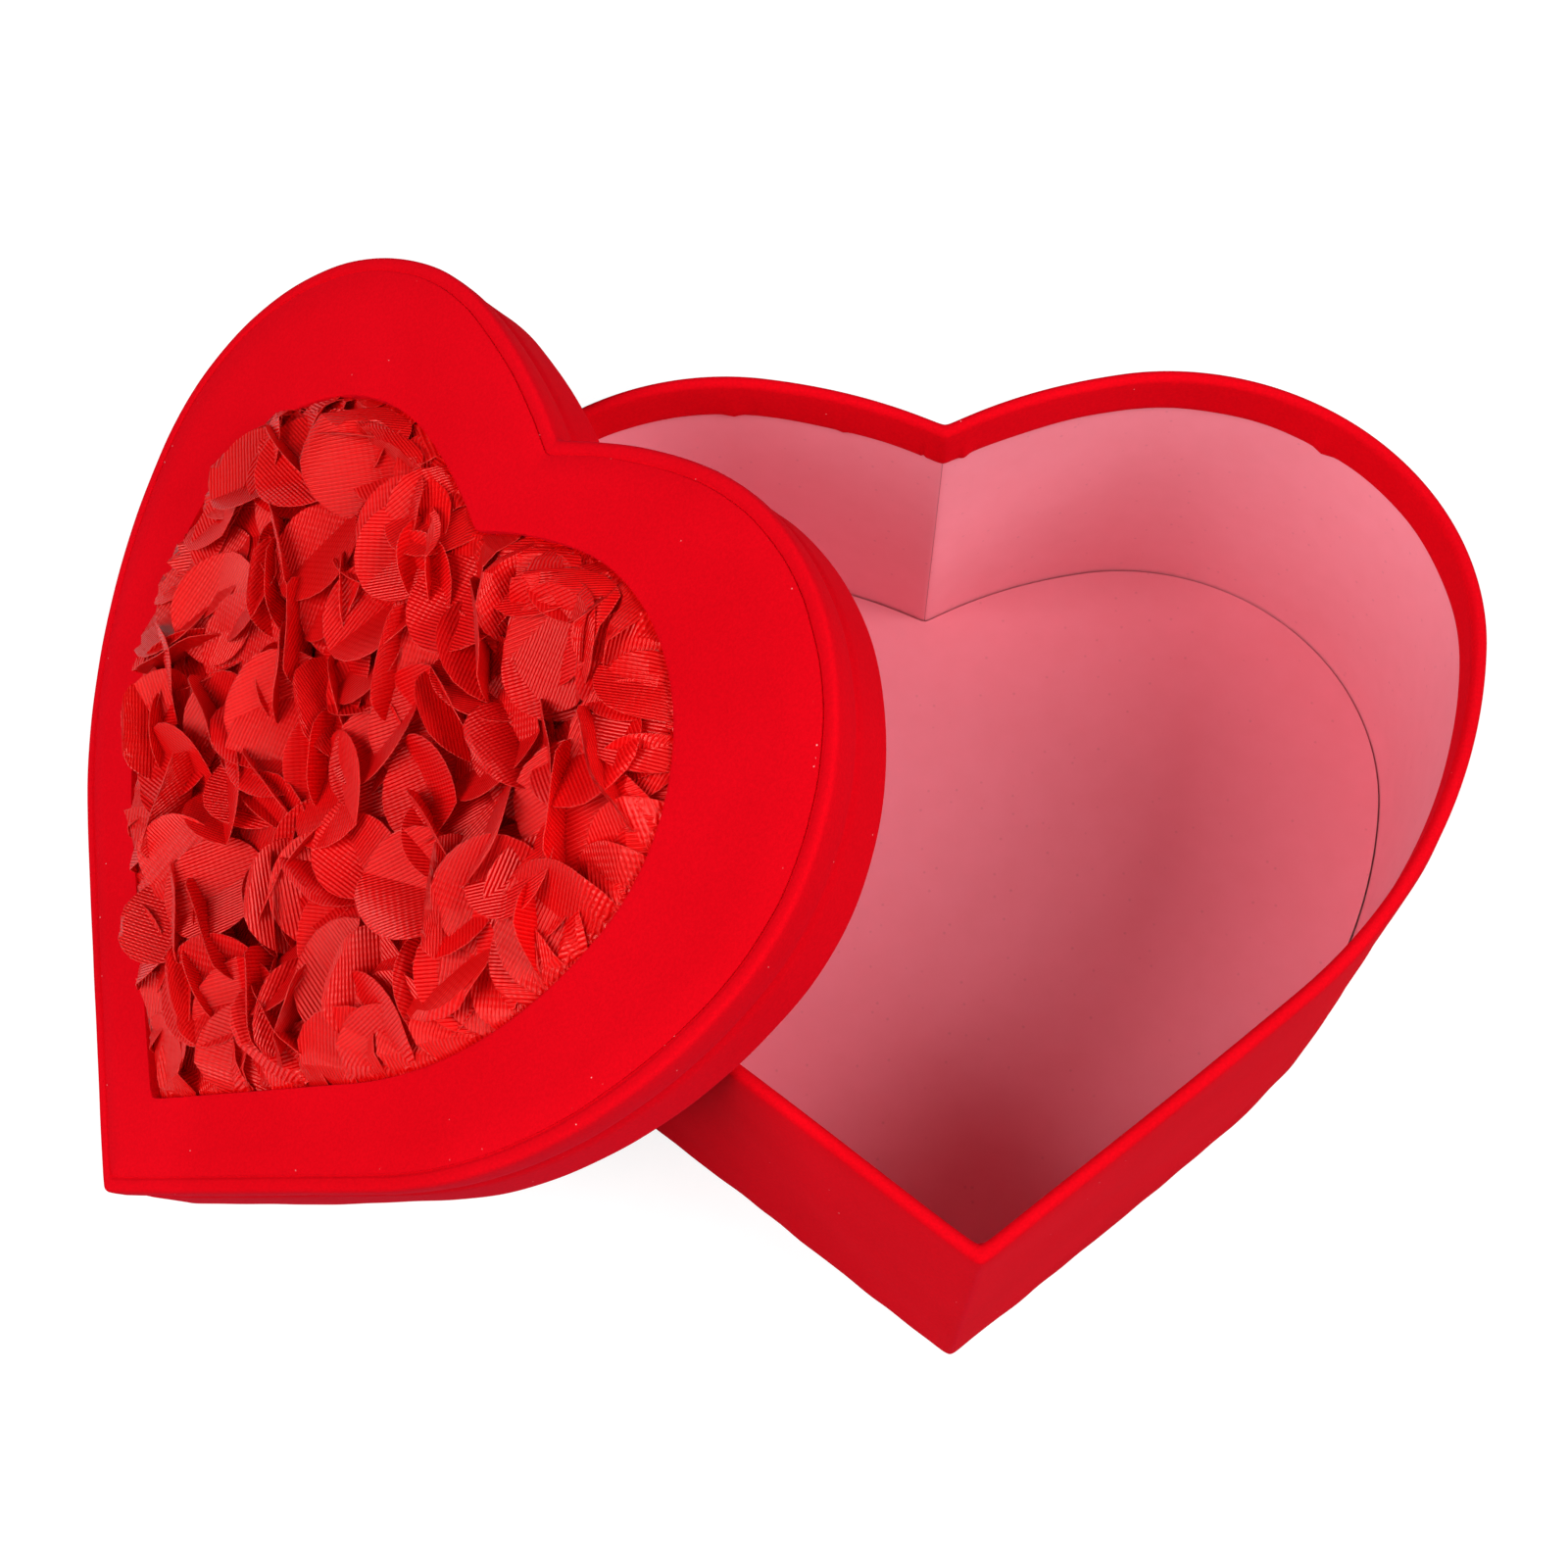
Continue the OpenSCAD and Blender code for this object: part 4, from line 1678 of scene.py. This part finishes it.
        z = (z + np.sqrt(z**2 + 0.6)) / 2
        return self.tucked(np.stack([x + sewn[:, :1], y + sewn[:, 1:2], z + self.ground_z], -1))

    def build(self, wardrobe: Wardrobe) -> None:
        """Make the four rows of petals.

        Args:
            wardrobe: The finishes.
        """
        random = np.random.default_rng(self.seed)
        sewn = self.places(random)
        form = self.shapes(random, sewn)
        flat = self.flat_discs(form)
        points = self.petal_points(flat, sewn, form)
        log.info("petals: %d", len(sewn))
        row_of = np.floor(sewn[:, 1] / self.row_depth + self.rows / 2).clip(0, self.rows - 1)
        for row in range(self.rows):
            chosen = row_of == row
            own = {key: values[chosen] for key, values in form.items()}
            piece = self.make_row(f"taffeta_petals_{row + 1}", points[chosen], flat[chosen], own)
            wardrobe.dress(piece, Finish.TAFFETA, "lid", f"petal_row_{row + 1}")

    def make_row(self, name: str, points: Array, flat: Array, form: dict[str, Array]) -> Object:
        """Join one row's petals into a piece with its rib map, tints and the mask for its cut edges'
        painted highlight.

        Args:
            name: Name of the piece.
            points: Points of the row's petals in the lid's frame, shaped (petals, points, 3).
            flat: The same points on the flat discs, shaped (petals, points, 2).
            form: Values of each petal, of which its ribs' angle and its tint are used.

        Returns:
            The new piece.
        """
        _, _, cut, faces = self.unit_fan()
        count, per = points.shape[:2]
        placed = LID_PLACE.place(points.reshape(-1, 3))
        joined = [[corner + i * per for corner in face] for i in range(count) for face in faces]
        piece = make_mesh(name, placed, joined, 24, outward=False)
        along, across = turned(flat[..., 0], flat[..., 1], -form["ribs"][:, None])
        lay_ribs(piece, np.stack([across, along * 0.6], -1).reshape(-1, 2))
        paint(piece, "tint", np.repeat(form["tint"], per))
        # Marks the cut edges, where the finish paints a highlight.
        paint(piece, "cut_edge_highlight", np.tile(cut, count))
        thicken(piece, self.cloth)
        return piece


# ---------------------------------------------------------------- the studio


@dataclass
class Studio:
    """Pale floor, soft lamps and the camera.

    The camera's place is in millimetres, and the lamps' places and aim are in metres.
    """

    camera_at: Triple = (-39.3, -190.6, 491.94)
    look: Triple = (0.00637, 0.42480, -0.90526)
    right: Triple = (0.99989, -0.0150, 0.0)
    lens: float = 51.28
    lamps_aim: Triple = (-0.03, 0.0, 0.03)
    floor_half: float = 3000.0
    floor_grey: Pair = (0.28, 0.3)
    floor_glow: float = 0.8
    air: float = 0.075

    def add_camera(self) -> None:
        """Make the camera at the viewing place, looking down at the box."""
        data = bpy.data.cameras.new("view_camera")
        data.lens = self.lens
        data.sensor_width = 36.0
        data.clip_start, data.clip_end = 0.01, 20.0
        camera = bpy.data.objects.new("view_camera", data)
        look, right = Vector(self.look).normalized(), Vector(self.right).normalized()
        up = right.cross(look)
        turn = Matrix((right, up, -look)).transposed().to_4x4()
        camera.matrix_world = Matrix.Translation(Vector(self.camera_at) * MM) @ turn
        bpy.context.scene.collection.objects.link(camera)
        bpy.context.scene.camera = camera

    def add_lamp(self, name: str, place: Triple, size: float, power: float) -> None:
        """Make a square soft lamp aimed at the box.

        Args:
            name: Name of the lamp.
            place: Its place in metres.
            size: Length of its sides in metres.
            power: Its power in watts.
        """
        data = bpy.data.lights.new(name, "AREA")
        data.shape = "SQUARE"
        data.size = size
        data.energy = power
        lamp = bpy.data.objects.new(name, data)
        way = Vector(self.lamps_aim) - Vector(place)
        turn = way.to_track_quat("-Z", "Y").to_matrix().to_4x4()
        lamp.matrix_world = Matrix.Translation(place) @ turn
        bpy.context.scene.collection.objects.link(lamp)

    def add_floor(self) -> None:
        """Make the pale floor, white to the camera except in the object's shadow."""
        points = self.floor_half * np.array([[-1, -1, 0], [1, -1, 0], [1, 1, 0], [-1, 1, 0]])
        floor = make_mesh("studio_floor", points, [[0, 1, 2, 3]], outward=False)
        shader = Shader("pale_floor")
        rays = shader.node("ShaderNodeLightPath")
        seen = shader.math("MAXIMUM", rays.outputs["Is Camera Ray"], rays.outputs["Is Glossy Ray"])
        speck = shader.ramp(shader.noise(4.0, 3.0), 0.3, 0.7, *self.floor_grey)
        shader.colour(shader.grey(speck))
        shader.surface(Roughness=0.9, Specular_IOR_Level=0.0, Emission_Color=(1, 1, 1, 1))
        glow = shader.math("MULTIPLY", seen, self.floor_glow)
        shader.link(glow, shader.main.inputs["Emission Strength"])
        floor.data.materials.append(shader.material)

    def add_world(self) -> None:
        """Even ambient light, plain white where the camera sees past the floor."""
        world = bpy.data.worlds.new("studio_air")
        bpy.context.scene.world = world
        world.use_nodes = True
        tree = world.node_tree
        back = tree.nodes["Background"]
        back.inputs["Color"].default_value = (1, 1, 1, 1)
        rays = tree.nodes.new("ShaderNodeLightPath")
        level = tree.nodes.new("ShaderNodeMapRange")
        level.inputs["To Min"].default_value = self.air
        level.inputs["To Max"].default_value = 1.0
        tree.links.new(rays.outputs["Is Camera Ray"], level.inputs["Value"])
        tree.links.new(level.outputs["Result"], back.inputs["Strength"])

    def build(self) -> None:
        """Set up the whole studio."""
        self.add_camera()
        self.add_floor()
        self.add_world()
        self.add_lamp("left_lamp", (-1.61, -0.75, 1.75), 1.55, 54.5)
        self.add_lamp("right_lamp", (1.78, -0.48, 1.69), 1.48, 57.0)
        self.add_lamp("front_lamp", (0.0, -1.9, 1.64), 1.25, 10.0)
        bpy.context.scene.view_settings.view_transform = "Standard"


def main() -> None:
    """Build the box, the lid, its petals and the studio."""
    logging.basicConfig(level=logging.INFO, format="%(name)s: %(message)s")
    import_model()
    Studio().build()
    wardrobe = Wardrobe()
    HeartBox().build(wardrobe)
    HeartLid().build(wardrobe)
    PetalBed().build(wardrobe)


if __name__ == "__main__":
    main()
